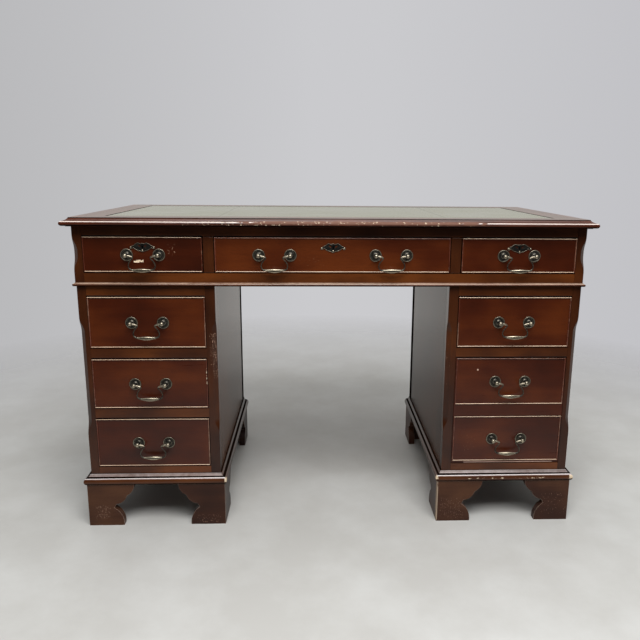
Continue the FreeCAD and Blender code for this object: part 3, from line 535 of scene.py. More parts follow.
leather_form = bmesh.new()
leather_edge = leather_form.verts.layers.float.new("edge")
border_points, border_edges, border_outward = [], [], []
for left, right in zip(leather_seams, leather_seams[1:]):
    left_turn = turned_edge if left == leather_seams[0] else seam_edge
    right_turn = turned_edge if right == leather_seams[-1] else seam_edge
    xs = stations(left + skin_gap, right - skin_gap, left_turn, right_turn, steps_across)
    skin_half = leather_half_depth - skin_gap
    ys = stations(-skin_half, skin_half, turned_edge, turned_edge, steps_deep)
    rows = []
    for y in ys:
        row = []
        for x in xs:
            left_share = 1 - (x - xs[0]) / left_turn
            right_share = 1 - (xs[-1] - x) / right_turn
            end_share = 1 - min(y - ys[0], ys[-1] - y) / turned_edge
            turn = max(0.0, left_share, right_share, end_share)
            vert = leather_form.verts.new((x, y, leather_top - turn ** 2 * (leather_top - leather_bed)))
            left_dark = left_share * (1.0 if left_turn == turned_edge else seam_dark)
            right_dark = right_share * (1.0 if right_turn == turned_edge else seam_dark)
            vert[leather_edge] = max(0.0, left_dark, right_dark, end_share)
            row.append(vert)
        rows.append(row)
    for near, far in zip(rows, rows[1:]):
        for i in range(len(xs) - 1):
            leather_form.faces.new((near[i], near[i + 1], far[i + 1], far[i]))
    first = len(border_points)
    for sign_x, sign_y in ((-1, -1), (1, -1), (1, 1), (-1, 1)):
        x = (left + tooling_inset) if sign_x < 0 else (right - tooling_inset)
        border_points.append((x, sign_y * (leather_half_depth - tooling_inset), leather_top - tooling_sunk))
        border_outward.append((sign_x, sign_y, 0.0))
    border_edges += [(first + i, first + (i + 1) % 4) for i in range(4)]
rim = [e for e in leather_form.edges if e.is_boundary]
bmesh.ops.holes_fill(leather_form, edges=rim)
bmesh.ops.recalc_face_normals(leather_form, faces=leather_form.faces)
# Where a skin turns down into a seam or against the bed's wall, its green is darkened as painted shade, and
# the faces deepest in the turn take the dark material of dirt and painted shade.
for face in leather_form.faces:
    turns = [vert[leather_edge] for vert in face.verts]
    face.smooth = len(turns) == 4 and max(turns) > still_flat
    if min(turns) > turned_dark:
        face.material_index = 1
leather_mesh = bpy.data.meshes.new("leather_skins")
leather_form.to_mesh(leather_mesh)
leather_form.free()

dark_green = "34391c"
light_green = "53552e"
scuffed_green = "74704a"
seam_shade_green = "14160e"
pebble_scale = 900.0
pebble_relief = 0.0002
leather, tree, surface, position = new_material("green_leather")
turned_down = add(tree, "ShaderNodeAttribute", attribute_name="edge").outputs["Fac"]
inputs = {"Vector": position, "Scale": pebble_scale}
pebbles = add(tree, "ShaderNodeTexVoronoi", inputs, feature="SMOOTH_F1").outputs[0]
patches = noise(tree, position, 7.0, 4.0, 0.6)
scuffs = stretched_noise(tree, position, (30.0, 60.0, 30.0), 5.0, 0.7)
green = blended(tree, patches, linear(dark_green), linear(light_green))
green = blended(tree, between(tree, scuffs, 0.56, 0.74, 0.0, 0.35), green, linear(scuffed_green))
# Painted shade: the green darkens where the skin turns down.
green = blended(tree, between(tree, turned_down, 0.3, 0.6), green, linear(seam_shade_green))
fill(tree, surface, {"Base Color": green, "Roughness": between(tree, patches, 0.0, 1.0, 0.16, 0.26)})
emboss(tree, surface, pebbles, strength=0.06, depth=pebble_relief)
piece(leather_mesh, [leather, settled_dirt], "carcase", "leather", "writing_leather")

# Gold tooling. Gold leaf pressed into the leather with heated brass wheels, round each skin near its edge:
# two fine lines with a row of small leaves between them. Most of it has rubbed off with use.
gold_leaf = "a08850"
gold_gone = "45482c"
gold, tree, surface, position = new_material("tooled_gold")
rubbed = between(tree, noise(tree, position, 130.0, 4.0, 0.6), 0.36, 0.58)
fill(tree, surface, {
    "Base Color": blended(tree, rubbed, linear(gold_leaf), linear(gold_gone)),
    "Metallic": between(tree, rubbed, 0.0, 1.0, 0.7, 0.05),
    "Roughness": between(tree, rubbed, 0.0, 1.0, 0.35, 0.3),
})


def nodes_tree(name, inputs):
    """A geometry tree that takes a geometry and the named inputs, and its input and output sockets."""
    made = bpy.data.node_groups.new(name, "GeometryNodeTree")
    made.interface.new_socket("Geometry", in_out="INPUT", socket_type="NodeSocketGeometry")
    for label, kind in inputs:
        made.interface.new_socket(label, in_out="INPUT", socket_type="NodeSocket" + kind)
    made.interface.new_socket("Geometry", in_out="OUTPUT", socket_type="NodeSocketGeometry")
    return made, made.nodes.new("NodeGroupInput").outputs, made.nodes.new("NodeGroupOutput").inputs


def joined(tree, parts):
    """Several geometries as one."""
    made = tree.nodes.new("GeometryNodeJoinGeometry")
    for part in parts:
        tree.links.new(part, made.inputs[0])
    return made.outputs[0]


def finished(tree, geometry, material, output):
    """Instances made real and given their material, as the tree's result."""
    real = add(tree, "GeometryNodeRealizeInstances", {0: geometry}).outputs[0]
    painted = add(tree, "GeometryNodeSetMaterial", {"Geometry": real, "Material": material}).outputs[0]
    tree.links.new(painted, output["Geometry"])


def grown(name, start, tree, values):
    """The plain mesh that a geometry tree makes from a starting mesh."""
    holder = bpy.data.objects.new(name, start)
    scene.collection.objects.link(holder)
    modifier = holder.modifiers.new("grow", "NODES")
    modifier.node_group = tree
    for item in tree.interface.items_tree:
        if item.name in values and item.in_out == "INPUT":
            modifier[item.identifier] = values[item.name]
    bpy.context.view_layer.update()
    made = bpy.data.meshes.new_from_object(holder.evaluated_get(bpy.context.evaluated_depsgraph_get()))
    made.name = name
    bpy.data.objects.remove(holder)
    return made


tooling, given, result = nodes_tree("gold_tooling", [
    ("Line Radius", "Float"), ("Half Gap", "Float"), ("Leaf Spacing", "Float"), ("Leaf Size", "Vector"),
    ("Gold", "Material"),
])
given_way = add(tooling, "GeometryNodeInputNamedAttribute", {"Name": "outward"}, data_type="FLOAT_VECTOR")
outward = given_way.outputs[0]
line_sides = 6
lines = []
for sign in (1.0, -1.0):
    gap = calc(tooling, "MULTIPLY", given["Half Gap"], sign)
    move = add(tooling, "ShaderNodeVectorMath", {0: outward, "Scale": gap}, operation="SCALE").outputs[0]
    inputs = {"Geometry": given["Geometry"], "Offset": move}
    track = add(tooling, "GeometryNodeSetPosition", inputs).outputs[0]
    track = add(tooling, "GeometryNodeMeshToCurve", {0: track}).outputs[0]
    wheel = {"Resolution": line_sides, "Radius": given["Line Radius"]}
    wire = add(tooling, "GeometryNodeCurvePrimitiveCircle", wheel).outputs[0]
    lines.append(add(tooling, "GeometryNodeCurveToMesh", {0: track, 1: wire}).outputs[0])
track = add(tooling, "GeometryNodeMeshToCurve", {0: given["Geometry"]}).outputs[0]
inputs = {"Curve": track, "Length": given["Leaf Spacing"]}
row = add(tooling, "GeometryNodeCurveToPoints", inputs, mode="LENGTH")
leaf = add(tooling, "GeometryNodeMeshIcoSphere", {"Radius": 1.0, "Subdivisions": 1}).outputs[0]
leaves = add(tooling, "GeometryNodeInstanceOnPoints", {
    "Points": row.outputs["Points"], "Instance": leaf,
    "Rotation": row.outputs["Rotation"], "Scale": given["Leaf Size"],
}).outputs[0]
finished(tooling, joined(tooling, lines + [leaves]), given["Gold"], result)
border = bpy.data.meshes.new("tooling_path")
border.from_pydata(border_points, border_edges, [])
outward_values = [value for corner in border_outward for value in corner]
border.attributes.new("outward", "FLOAT_VECTOR", "POINT").data.foreach_set("vector", outward_values)
tooling_mesh = grown("gold_tooling", border, tooling, {
    "Line Radius": 0.00038, "Half Gap": 0.004, "Leaf Spacing": 0.009,
    "Leaf Size": (0.0009, 0.00036, 0.0022), "Gold": gold,
})
piece(tooling_mesh, [], "carcase", "leather")

# Frieze case. Chamfered corner posts, dividers and rails at the front, veneered end panels and a plain back,
# with a small half-round bead planted round its foot, rubbed pale along its top, where the pale also stands
# for its painted highlight, and painted with shade beneath.
worn_red = "e4bca2"
case_marks = (
    ((-0.284, -0.265, 0.45), (0.012, 0.02, 0.07), (400.0, 400.0, 360.0), 0.34, worn_red),
    ((-0.28, -0.265, 0.43), (0.008, 0.02, 0.09), (430.0, 430.0, 390.0), 0.34, worn_red),
    ((0.281, -0.266, 0.38), (0.008, 0.02, 0.14), (300.0, 300.0, 260.0), 0.24, worn_red),
)
drawers = (
    "left_frieze", "centre_frieze", "right_frieze",
    "left_upper", "left_middle", "left_lower", "right_upper", "right_file",
)
front_boxes = {drawer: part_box(drawer + "_front") for drawer in drawers}
line_rise = 0.002
line_half_depth = 0.03
line_half_height = 0.0014
even = (1.0, 1.0, 1.0)
covered = 1.2
# Painted shadow lines: a thin near-black band on the rail just over each drawer's opening, where the gap
# throws shade.
painted_shadow_lines = []
for low, high in front_boxes.values():
    line_middle = ((low.x + high.x) / 2, low.y, high.z + line_rise)
    line_half = ((high.x - low.x) / 2, line_half_depth, line_half_height)
    painted_shadow_lines.append((line_middle, line_half, even, covered, shade_and_dirt_dark))
case_marks += tuple(painted_shadow_lines)
case_wood = mahogany("case_wood", "220d05", "421f0a", "653411", shine=0.36, marks=case_marks)
panel_wood = mahogany("panel_wood", "2e180b", "462612", "5e381a", gloss=0.2, shine=0.07)
moulding_wood = mahogany("moulding_wood", "301206", "472008", "60300e", wear_and_highlight_colour="dcc0a8", wear_and_highlight=0.65)
top_rail_height = 0.715
frieze_height = 0.6
low_rail_height = 0.16
post_tone = 0.2
rail_tone = 0.62


def frame_tone(axis, height):
    """Rails are a little lighter than posts and bottom rails are lightest. The top rail is painted darkest,
    as shade under the overhang of the top.
    """
    if height > top_rail_height:
        return 0.0
    if axis == 2:
        return post_tone
    return rail_tone if low_rail_height <= height <= frieze_height else 1.0


front_facing = -0.97
edge_facing = -0.15
opening_reach = 0.003
opening_heights = sorted({round(corner.z, 5) for box in front_boxes.values() for corner in box})


def shaded_opening(number, face):
    """Painted shade lies on the arrises of a drawer's opening: over it, under it and up either side of it,
    where the gap round the drawer is dark.
    """
    if not front_facing < face.normal.y < edge_facing:
        return 0.0
    place = face.calc_center_median()
    for low, high in front_boxes.values():
        beside = max(low.x - place.x, place.x - high.x)
        over_or_under = max(low.z - place.z, place.z - high.z)
        if abs(max(beside, over_or_under)) < opening_reach:
            return dirt_and_shade
    return 0.0


rear_strip = 0.25
kneehole_side = 0.276
bead_underside = -0.35
frame_round = 0.0011
moulding_round = 0.0003


def blackened_rear(number, face):
    """The rear edge of a panel beside the kneehole is painted nearly black."""
    middle = face.calc_center_median()
    return dirt_and_shade if middle.y > rear_strip and abs(middle.x) < kneehole_side else 0.0


def bead_moulding_wear_and_painted_light(number, face):
    """A planted bead is painted pale along the top of its crest, as wear and as its highlight, and takes
    painted shade underneath.
    """
    return dirt_and_shade if face.normal.z < bead_underside else crest_wear_and_highlight(face, lean=0.85, spread=0.18)


wooden("frieze_panels", [panel_wood])
frame_finish = {
    "materials": [case_wood, settled_dirt], "round_over": frame_round, "tone": frame_tone,
    "rub": shaded_opening, "cuts": [((0.0, 0.0, height), (0.0, 0.0, 1.0)) for height in opening_heights],
}
wooden("frieze_front_frame", **frame_finish)
wooden("frieze_bead_moulding", [moulding_wood, settled_dirt], round_over=moulding_round,
       rub=bead_moulding_wear_and_painted_light)

# Pedestals. Two boxes like the frieze case, with a plinth moulding round the front and the sides: a bull
# nose under a quirk and a small hollow, chipped along its front and at its corners.
plinth_chips = (
    ((0.437, -0.285, 0.1185), (0.18, 0.012, 0.003), (130.0, 60.0, 190.0), 0.38, cream),
    ((0.603, -0.284, 0.120), (0.008, 0.012, 0.006), (60.0, 60.0, 60.0), 0.75, cream),
    ((-0.261, -0.284, 0.120), (0.005, 0.012, 0.006), (60.0, 60.0, 60.0), 0.7, cream),
    ((0.263, -0.284, 0.121), (0.005, 0.012, 0.006), (90.0, 90.0, 90.0), 0.62, cream),
)
plinth_wood = mahogany("plinth_wood", "1e0c06", "42200c", "663816", wear_and_highlight_colour="dcd2d0", wear_and_highlight=0.75, shine=0.3,
                       marks=plinth_chips)
plinth_nose = 0.127
nose_lip = 0.0006
plinth_quirk = 0.1282
plinth_fillet = 0.1325
ledge_facing = 0.9
plinth_underside = -0.5
plinth_front = -0.2
fillet_reflection = 0.36
above_fillet_reflection = 0.48
shaded_side_tone = 0.0
front_strip_tone = 0.6


def plinth_wear_and_painted_light(number, face):
    """In front the crest of the nose is painted pale, as wear and as its highlight, and the hollow above it a
    little, as a painted reflection. The quirk, the ledge and the underside take painted shade."""
    height = face.calc_center_median().z
    in_quirk = plinth_nose - nose_lip < height < plinth_quirk
    on_ledge = height > plinth_fillet and face.normal.z > ledge_facing
    if in_quirk or on_ledge or face.normal.z < plinth_underside:
        return dirt_and_shade
    if face.normal.y > plinth_front:
        return 0.0
    if height < plinth_nose:
        return crest_wear_and_highlight(face, lean=0.8, spread=0.25)
    return fillet_reflection if height < plinth_fillet else above_fillet_reflection


def plinth_tone(axis, height):
    """The strips along the sides are painted darker than the front one, as shade."""
    return shaded_side_tone if axis == 1 else front_strip_tone


for side in ("left", "right"):
    wooden(side + "_pedestal_panels", [panel_wood, settled_dirt], along=2, rub=blackened_rear,
           cuts=[((0.0, rear_strip, 0.0), (0.0, 1.0, 0.0))])
    wooden(side + "_pedestal_front_frame", **frame_finish)
    wooden(side + "_plinth_moulding", [plinth_wood, settled_dirt], round_over=moulding_round,
           tone=plinth_tone, rub=plinth_wear_and_painted_light)

# Bracket feet. Shaped brackets mitred at the corners, with glued blocks behind. Shoes and brooms have
# scuffed them near the floor and rubbed their edges pale.
scuff = "735648"
worn_arris = "a89480"
foot_scuffs = (
    ((-0.566, -0.28, 0.036), (0.03, 0.02, 0.03), (300.0, 60.0, 260.0), 0.4, scuff),
    ((-0.306, -0.28, 0.016), (0.05, 0.02, 0.02), (300.0, 60.0, 260.0), 0.36, scuff),
    ((0.305, -0.28, 0.035), (0.052, 0.02, 0.05), (420.0, 60.0, 260.0), 0.355, scuff),
    ((0.266, -0.28, 0.05), (0.0016, 0.02, 0.08), (160.0, 160.0, 60.0), 0.7, worn_arris),
    ((0.565, -0.28, 0.045), (0.055, 0.02, 0.05), (320.0, 60.0, 300.0), 0.33, scuff),
)
foot_wood = mahogany("foot_wood", "1c0c07", "371c10", "563520", wear_and_highlight_colour="c8b09e", wear_and_highlight=0.42, gloss=0.4,
                     shine=0.25, marks=foot_scuffs)
foot_round = 0.0018
for side in ("left", "right"):
    wooden(side + "_bracket_feet", [foot_wood], round_over=foot_round)

# Drawer fronts. A veneered board with a mitred cockbead round it, standing a little proud and rubbed pale;
# the pale bead is also painted as its highlight, with painted shade along its outer side.
# The deep drawer has two planted frames of bead, so that it looks like two drawers.
bare_wood = "f4dcbc"
frieze_face = -0.274
pedestal_face = -0.270
side_frieze_middle = 0.435
pedestal_middle = 0.4345
keyhole_height = 0.694
keyhole_shade = "060403"
speck = "a07a60"
dent = "b89884"
pale_edge_line = "b8988a"
front_damage = (
    ((-0.442, frieze_face, 0.6608), (0.013, 0.01, 0.0042), (240.0, 40.0, 420.0), 0.53, bare_wood),
    ((-0.450, frieze_face, 0.6592), (0.010, 0.01, 0.0026), (90.0, 40.0, 330.0), 0.7, bare_wood),
    ((-0.37, frieze_face, 0.686), (0.016, 0.01, 0.026), (260.0, 40.0, 300.0), 0.34, speck),
    ((-0.05, frieze_face, 0.662), (0.05, 0.01, 0.018), (260.0, 40.0, 260.0), 0.3, speck),
    ((0.354, pedestal_face, 0.397), (0.003, 0.01, 0.003), (120.0, 40.0, 120.0), 0.6, dent),
    ((0.34, pedestal_face, 0.21), (0.03, 0.01, 0.04), (300.0, 40.0, 240.0), 0.28, speck),
    # A pale line painted along the bottom edge of the deep drawer's front.
    ((pedestal_middle, pedestal_face, 0.1556), (0.135, 0.01, 0.0012), (30.0, 40.0, 40.0), 0.85, pale_edge_line),
)
# Painted shade: a near-black spot on the wood behind each keyhole, standing for the dark hole through the
# front.
painted_keyhole_shade = tuple(
    ((x, frieze_face, keyhole_height), (0.003, 0.01, 0.006), even, covered, keyhole_shade)
    for x in (-side_frieze_middle, 0.0, side_frieze_middle)
)
bead_chips = (((-0.3005, -0.271, 0.386), (0.004, 0.01, 0.045), (300.0, 300.0, 280.0), 0.44, cream),)
front_marks = front_damage + painted_keyhole_shade
front_wood = mahogany("front_wood", "240b05", "411706", "5e2a0c", shine=0.35, marks=front_marks)
bead_wood = mahogany("bead_wood", "401a0c", "56281a", "704030", wear_and_highlight_colour="ead0b2", wear_and_highlight=0.8, gloss=0.24,
                     marks=bead_chips)
front_tones = (0.25, 1.0, 0.5, 0.7, 0.75, 0.35, 0.5, 0.55)
dull_above = {"centre_frieze": 0.714, "right_file": 0.4245}
dull_share = 0.3
upright_wear_and_highlight = 0.2
bead_frames = {"right_file": 2}
outer_side = 0.75
bead_front = -0.5


def bead_wear_and_painted_light(number, face, drawer):
    """The board itself isn't rubbed. Painted shade lies along the outside of its beads. A level bead is
    painted pale along its top, as wear and as its highlight, and an upright or a dull one a little."""
    if number == 0:
        return 0.0
    low, high = front_boxes[drawer]
    frame_height = (high.z - low.z) / bead_frames.get(drawer, 1)
    place = face.calc_center_median()
    frame_share = (place.z - low.z) / frame_height % 1.0
    upwards = math.copysign(face.normal.z, face.normal.z * (frame_share - 0.5))
    sideways = math.copysign(face.normal.x, face.normal.x * (place.x - (low.x + high.x) / 2))
    if max(upwards, sideways) > outer_side:
        return dirt_and_shade
    upright = upright_wear_and_highlight if face.normal.y < bead_front else 0.0
    level = crest_wear_and_highlight(face, lean=0.5, spread=0.5)
    share = dull_share if drawer in dull_above and place.z > dull_above[drawer] else 1.0
    return max(share * level, upright)


def board_or_bead(number):
    """The first solid of a front is its board, and the others are its beads."""
    return min(number, 1)


for drawer, front_tone in zip(drawers, front_tones):
    wooden(drawer + "_front", [front_wood, bead_wood, settled_dirt], drawer + "_drawer",
           round_over=moulding_round, along=0, tone=lambda axis, height: front_tone, finish=board_or_bead,
           rub=lambda number, face: bead_wear_and_painted_light(number, face, drawer))

# Drawer insides and runners. Plain pale wood, dry and unpolished. Two grooved sides, a back and a thin
# bottom make each drawer's box behind its front, and it slides on runners between guide strips in the case.
lining = mahogany("lining_wood", "8a6238", "a87c4a", "c09a64", gloss=0.62)
for drawer in drawers:
    wooden(drawer + "_box", [lining], drawer + "_drawer", "lining_wood")
for node in ("frieze_runners", "left_drawer_runners", "right_drawer_runners"):
    wooden(node, [lining], slot="lining_wood")

# Pull posts. Cast brass with a dark antique finish, rubbed bright on its high places: on each side of a
# pull a dished rosette lies on the front, and a ball-headed post stands on it, with a shank through the
# front and a nut inside.
brass_dark = "262522"
brass_bright = "ccc0a8"
mottle_share = 0.5
cast_relief = 0.0003
antique_brass, tree, surface, position = new_material("antique_brass")
rub = add(tree, "ShaderNodeAttribute", attribute_name="rub").outputs["Fac"]
mottle = noise(tree, position, 260.0, 4.0, 0.6)
bright = between(tree, added(tree, rub, mottle, mottle_share), 0.4, 1.2)
fill(tree, surface, {
    "Base Color": blended(tree, bright, linear(brass_dark), linear(brass_bright)),
    "Roughness": between(tree, bright, 0.0, 1.0, 0.42, 0.34),
    "Metallic": between(tree, bright, 0.0, 1.0, 0.7, 1.0),
})
emboss(tree, surface, mottle, strength=0.12, depth=cast_relief)

post_half_gap = 0.0365
ball_radius = 5.4
ball_reach = 15.0
ball_start = -48
ball_sweep = 138
ball_steps = 12
ball_back_rub = 0.1
ball_front_rub_and_highlight = 1.0
turned_sides = 40
nut_sides = 6
sharp_edge = math.radians(50)
millimetre = 0.001


def turned(form, profile, sides, middle=(0.0, 0.0, 0.0)):
    """A turned shape about a line out of the front. A step of its profile is a radius and how far it stands
    out, both in millimetres, and how rubbed it is, which on the ball's front also stands for a painted
    highlight."""
    rub = form.verts.layers.float.get("rub") or form.verts.layers.float.new("rub")
    rings = []
    for radius, reach, bright in profile:
        ring = []
        for i in range(sides if radius else 1):
            angle = 2 * math.pi * i / sides
            place = Vector((radius * math.cos(angle), -reach, radius * math.sin(angle)))
            vert = form.verts.new((place + Vector(middle)) * millimetre)
            vert[rub] = bright
            ring.append(vert)
        rings.append(ring)
    for near, far in zip(rings, rings[1:]):
        for i in range(sides):
            near_side = (near[i % len(near)], near[(i + 1) % len(near)])
            far_side = (far[(i + 1) % len(far)], far[i % len(far)])
            form.faces.new(dict.fromkeys(near_side + far_side))


def smooth_mesh(name, form):
    """The form as a mesh, closed, facing outwards and smooth but for its sharp corners."""
    bmesh.ops.remove_doubles(form, verts=form.verts, dist=1e-6)
    bmesh.ops.recalc_face_normals(form, faces=form.faces)
    for face in form.faces:
        face.smooth = True
    mesh = bpy.data.meshes.new(name)
    form.to_mesh(mesh)
    form.free()
    mesh.set_sharp_from_angle(angle=sharp_edge)
    return mesh


shank_and_nut_end = [(0.0, -24.4, 0.3), (1.9, -24.4, 0.3), (2.4, -23.9, 0.3), (2.4, 0.0, 0.1)]
rosette = [
    (14.3, 0.0, 0.1), (14.3, 0.8, 0.2), (14.0, 1.5, 0.4), (13.2, 1.8, 0.5), (12.4, 1.6, 0.35),
    (11.9, 1.0, 0.0), (11.4, 0.8, 0.0), (10.9, 1.1, 0.25), (10.4, 1.0, 0.25), (9.9, 0.7, 0.05),
    (9.2, 0.8, 0.25), (8.6, 0.6, 0.05), (7.6, 0.7, 0.2), (6.8, 1.2, 0.1), (6.2, 2.2, 0.25),
    (5.4, 2.9, 0.3), (4.4, 3.2, 0.1), (3.6, 3.9, 0.0),
]
neck = [(3.2, 5.5, 0.1), (3.1, 8.0, 0.2), (3.5, 10.6, 0.2)]
ball = []
# The ball is painted brighter towards its front tip, as wear and as its painted highlight.
for step in range(ball_steps + 1):
    angle = math.radians(ball_start + ball_sweep * step / ball_steps)
    radius = ball_radius * math.cos(angle) if step < ball_steps else 0.0
    ball_wear_and_highlight = ball_back_rub + (ball_front_rub_and_highlight - ball_back_rub) * (step / ball_steps) ** 2
    ball.append((radius, ball_reach + ball_radius * math.sin(angle), ball_wear_and_highlight))
nut = [(2.5, -23.0, 0.3), (4.3, -23.0, 0.4), (5.0, -22.4, 0.5), (5.0, -19.0, 0.3), (2.5, -19.0, 0.2)]
post_form = bmesh.new()
turned(post_form, shank_and_nut_end + rosette + neck + ball, turned_sides)
turned(post_form, nut + nut[:1], nut_sides)
post_pattern = bpy.data.objects.new("pull_post", smooth_mesh("pull_post", post_form))

pull_pair, given, result = nodes_tree("pull_pair", [
    ("Post", "Object"), ("Half Gap", "Float"), ("Brass", "Material"),
])
sides = []
for sign in (1.0, -1.0):
    across = calc(pull_pair, "MULTIPLY", given["Half Gap"], sign)
    move = add(pull_pair, "ShaderNodeCombineXYZ", {0: across}).outputs[0]
    moved = add(pull_pair, "GeometryNodeSetPosition", {"Geometry": given["Geometry"], "Offset": move})
    sides.append(moved.outputs[0])
post = add(pull_pair, "GeometryNodeObjectInfo", {"Object": given["Post"]}).outputs["Geometry"]
both = {"Points": joined(pull_pair, sides), "Instance": post}
finished(pull_pair, add(pull_pair, "GeometryNodeInstanceOnPoints", both).outputs[0], given["Brass"], result)

frieze_pull = 0.675
pulls = {
    "left_frieze": {"left_frieze_bail": (-side_frieze_middle, frieze_face, frieze_pull)},
    "centre_frieze": {
        "centre_frieze_left_bail": (-0.135, frieze_face, frieze_pull),
        "centre_frieze_right_bail": (0.135, frieze_face, frieze_pull),
    },
    "right_frieze": {"right_frieze_bail": (side_frieze_middle, frieze_face, frieze_pull)},
    "left_upper": {"left_upper_bail": (-pedestal_middle, pedestal_face, 0.515)},
    "left_middle": {"left_middle_bail": (-pedestal_middle, pedestal_face, 0.365)},
    "left_lower": {"left_lower_bail": (-pedestal_middle, pedestal_face, 0.215)},
    "right_upper": {"right_upper_bail": (pedestal_middle, pedestal_face, 0.515)},
    "right_file": {
        "right_file_upper_bail": (pedestal_middle, pedestal_face, 0.367),
        "right_file_lower_bail": (pedestal_middle, pedestal_face, 0.218),
    },
}
for drawer, places in pulls.items():
    middles = bpy.data.meshes.new("pull_middles")
    middles.from_pydata(list(places.values()), [], [])
    values = {"Post": post_pattern, "Half Gap": post_half_gap, "Brass": antique_brass}
    made = grown(drawer + "_posts_brass", middles, pull_pair, values)
    piece(made, [], drawer + "_drawer", "antique_brass", drawer + "_pull_posts")

# Bails. Swan-neck handles of cast brass: each end turns in the ball of a post, runs inwards, doubles back
# down and out, and sweeps round to a grip that swells like a leaf and has a vein along it. Each step of a
# half is a place across and up from the posts and a radius, in millimetres.
bail_half = (
    (38.4, 0.0, 1.7), (34.0, 0.0, 2.4), (29.0, -0.8, 2.6), (23.0, -2.2, 2.2), (18.8, -5.2, 1.6),
    (22.8, -9.0, 1.35), (27.2, -14.2, 1.3), (30.4, -20.6, 1.3), (30.2, -27.2, 1.4), (26.8, -32.0, 1.7),
    (20.5, -33.4, 2.3), (14.0, -33.8, 3.2), (7.5, -34.2, 4.3), (0.0, -34.4, 5.0),
)
neck_level = -4.0
# The neck that turns in the ball is painted bright, as wear and as its painted highlight.
neck_rub_and_highlight = 0.6
arm_rub = 0.22
grip_rub = 0.45
leaf_rub = 0.35
vein_dark = 0.8
grip_level = -34.0
grip_leaf = 21.0
grip_flatness = 0.8
vein_depth = 1.6
vein_width = 1.1
bail_points = bail_half + tuple((-x, z, radius) for x, z, radius in reversed(bail_half[:-1]))
bail_curve = bpy.data.curves.new("bail", "CURVE")
bail_curve.dimensions = "3D"
bail_curve.bevel_depth = 1.0
bail_curve.bevel_resolution = 6
bail_curve.use_fill_caps = True
neck_line = bail_curve.splines.new("NURBS")
neck_line.points.add(len(bail_points) - 1)
for point, (x, z, radius) in zip(neck_line.points, bail_points):
    point.co = (x, 0.0, z, 1.0)
    point.radius = radius
neck_line.order_u = 4
neck_line.use_endpoint_u = True
neck_line.resolution_u = 6
bail_shape = bpy.data.objects.new("bail", bail_curve)
scene.collection.objects.link(bail_shape)
bail_mesh = bpy.data.meshes.new_from_object(bail_shape)
bpy.data.objects.remove(bail_shape)
bail_mesh.shade_smooth()
bail_rub = bail_mesh.attributes.new("rub", "FLOAT", "POINT").data
for vert in bail_mesh.vertices:
    x, y, z = vert.co
    bail_rub[vert.index].value = neck_rub_and_highlight if z > neck_level else arm_rub
    if abs(x) < grip_leaf and z < grip_level / 2:
        leaf = math.cos(math.pi / 2 * x / grip_leaf)
        vein = math.exp(-((z - grip_level) / vein_width) ** 2) * leaf
        vert.co.y = grip_flatness * y - math.copysign(vein_depth * vein, y)
        bail_rub[vert.index].value = grip_rub + leaf_rub * leaf - vein_dark * vein
bail_mesh.transform(Matrix.Scale(millimetre, 4))
for drawer, places in pulls.items():
    for bail, (x, y, z) in places.items():
        mesh = bail_mesh.copy()
        mesh.name = bail + "_brass"
        mesh.transform(Matrix.Translation((x, y - ball_reach * millimetre, z)))
        piece(mesh, [antique_brass], bail, "antique_brass", bail)

# Escutcheons. Pierced brass plates about the keyholes, cast with a raised edge and held by a round-headed
# pin in either ear and one below. Each step of an outline is a place in millimetres from the keyhole, with
# a sharp corner where it says so.
SHARP = True
plate_half = (
    (0.0, 7.8), (4.6, 6.6), (10.0, 8.4), (14.5, 6.6), (19.6, 2.8), (24.6, 0.6), (28.2, -2.0), (27.0, -4.8),
    (23.8, -4.4), (20.8, -2.0, SHARP), (17.4, -4.8), (11.5, -8.0), (4.6, -10.0, SHARP),
)
plate_outline = plate_half + ((0.0, -11.8),) + tuple((-p[0], *p[1:]) for p in reversed(plate_half[1:]))
eye = ((4.2, 1.4), (6.6, 3.6), (11.4, 3.8, SHARP), (8.0, 0.6), (5.4, -1.0))
other_eye = tuple((-p[0], *p[1:]) for p in eye)
keyhole = (
    (0.0, 5.0), (2.6, 2.4), (1.4, 0.4, SHARP), (1.9, -5.0, SHARP),
    (-1.9, -5.0, SHARP), (-1.4, 0.4, SHARP), (-2.6, 2.4),
)
plate_thickness = 1.2
plate_round = 0.35
raised_edge = 0.55
plate_rub_level = 0.12
rim_rub_level = 0.38
pin_places = ((26.0, -2.1), (-26.0, -2.1), (0.0, -8.4))
pin_sides = 16


def curve_mesh(outlines, **settings):
    """A mesh of smooth closed outlines, filled or drawn as wires by the curve's own settings."""
    curve = bpy.data.curves.new("outline", "CURVE")
    for name, value in settings.items():
        setattr(curve, name, value)
    for outline in outlines:
        line = curve.splines.new("BEZIER")
        line.bezier_points.add(len(outline) - 1)
        line.use_cyclic_u = True
        line.resolution_u = 5
        for point, (x, y, *sharp) in zip(line.bezier_points, outline):
            point.co = (x, y, 0.0)
            point.handle_left_type = point.handle_right_type = "VECTOR" if sharp else "AUTO"
    shape = bpy.data.objects.new("outline", curve)
    scene.collection.objects.link(shape)
    mesh = bpy.data.meshes.new_from_object(shape)
    bpy.data.objects.remove(shape)
    return mesh


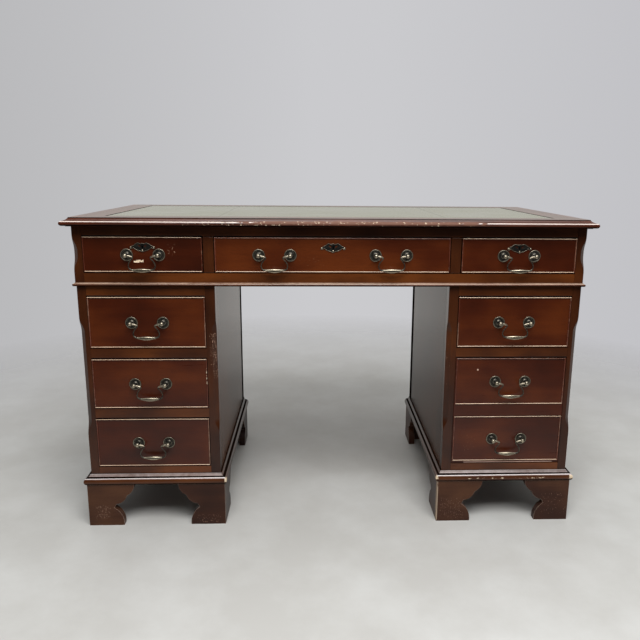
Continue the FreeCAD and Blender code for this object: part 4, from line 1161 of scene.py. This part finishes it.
plate_lines = (plate_outline, eye, other_eye, keyhole)
body_depth = plate_thickness / 2 - plate_round
plate_body = curve_mesh(plate_lines, dimensions="2D", fill_mode="BOTH", extrude=body_depth,
                        bevel_depth=plate_round, bevel_resolution=2, offset=-plate_round)
plate_body.transform(Matrix.Translation((0.0, 0.0, plate_thickness / 2)))
plate_rim = curve_mesh(plate_lines[:1], dimensions="3D", bevel_depth=raised_edge, bevel_resolution=3)
plate_rim.transform(Matrix.Translation((0.0, 0.0, plate_thickness)))
out_of_front = Matrix.Rotation(math.radians(90), 4, "X") @ Matrix.Scale(millimetre, 4)
plate_form = bmesh.new()
plate_rub = plate_form.verts.layers.float.new("rub")
for flat, bright in ((plate_body, plate_rub_level), (plate_rim, rim_rub_level)):
    flat.transform(out_of_front)
    known = len(plate_form.verts)
    plate_form.from_mesh(flat)
    plate_form.verts.ensure_lookup_table()
    for vert in plate_form.verts[known:]:
        vert[plate_rub] = bright
pin_head = [
    (0.0, plate_thickness, 0.5), (1.9, plate_thickness, 0.5), (1.6, 2.0, 0.8), (0.9, 2.5, 1.0),
    (0.0, 2.6, 1.0),
]
for x, z in pin_places:
    turned(plate_form, pin_head, pin_sides, (x, 0.0, z))
plate_mesh = smooth_mesh("escutcheon", plate_form)
keyholes = {"left_frieze": -side_frieze_middle, "centre_frieze": 0.0, "right_frieze": side_frieze_middle}
for drawer, x in keyholes.items():
    mesh = plate_mesh.copy()
    mesh.name = drawer + "_escutcheon_brass"
    mesh.transform(Matrix.Translation((x, frieze_face, keyhole_height)))
    piece(mesh, [antique_brass], drawer + "_drawer", "antique_brass", drawer + "_escutcheon")

# Locks. A case of tarnished steel is let into the back of each frieze front. It holds a steel bolt that
# shoots up behind the rail.
steel_dark = "3c3832"
steel_bright = "8c8880"
lock_round = 0.0004
steel, tree, surface, position = new_material("lock_steel")
tarnish = noise(tree, position, 90.0, 5.0, 0.65)
fill(tree, surface, {
    "Base Color": blended(tree, tarnish, linear(steel_dark), linear(steel_bright)),
    "Roughness": between(tree, tarnish, 0.0, 1.0, 0.28, 0.58),
    "Metallic": 1.0,
})
for drawer in keyholes:
    case, bolt = drawer + "_lock_case", drawer + "_lock_bolt"
    for node, body in ((case, drawer + "_drawer"), (bolt, bolt)):
        piece(boards(node + "_steel", node, round_over=lock_round), [steel], body, "lock_steel", node)
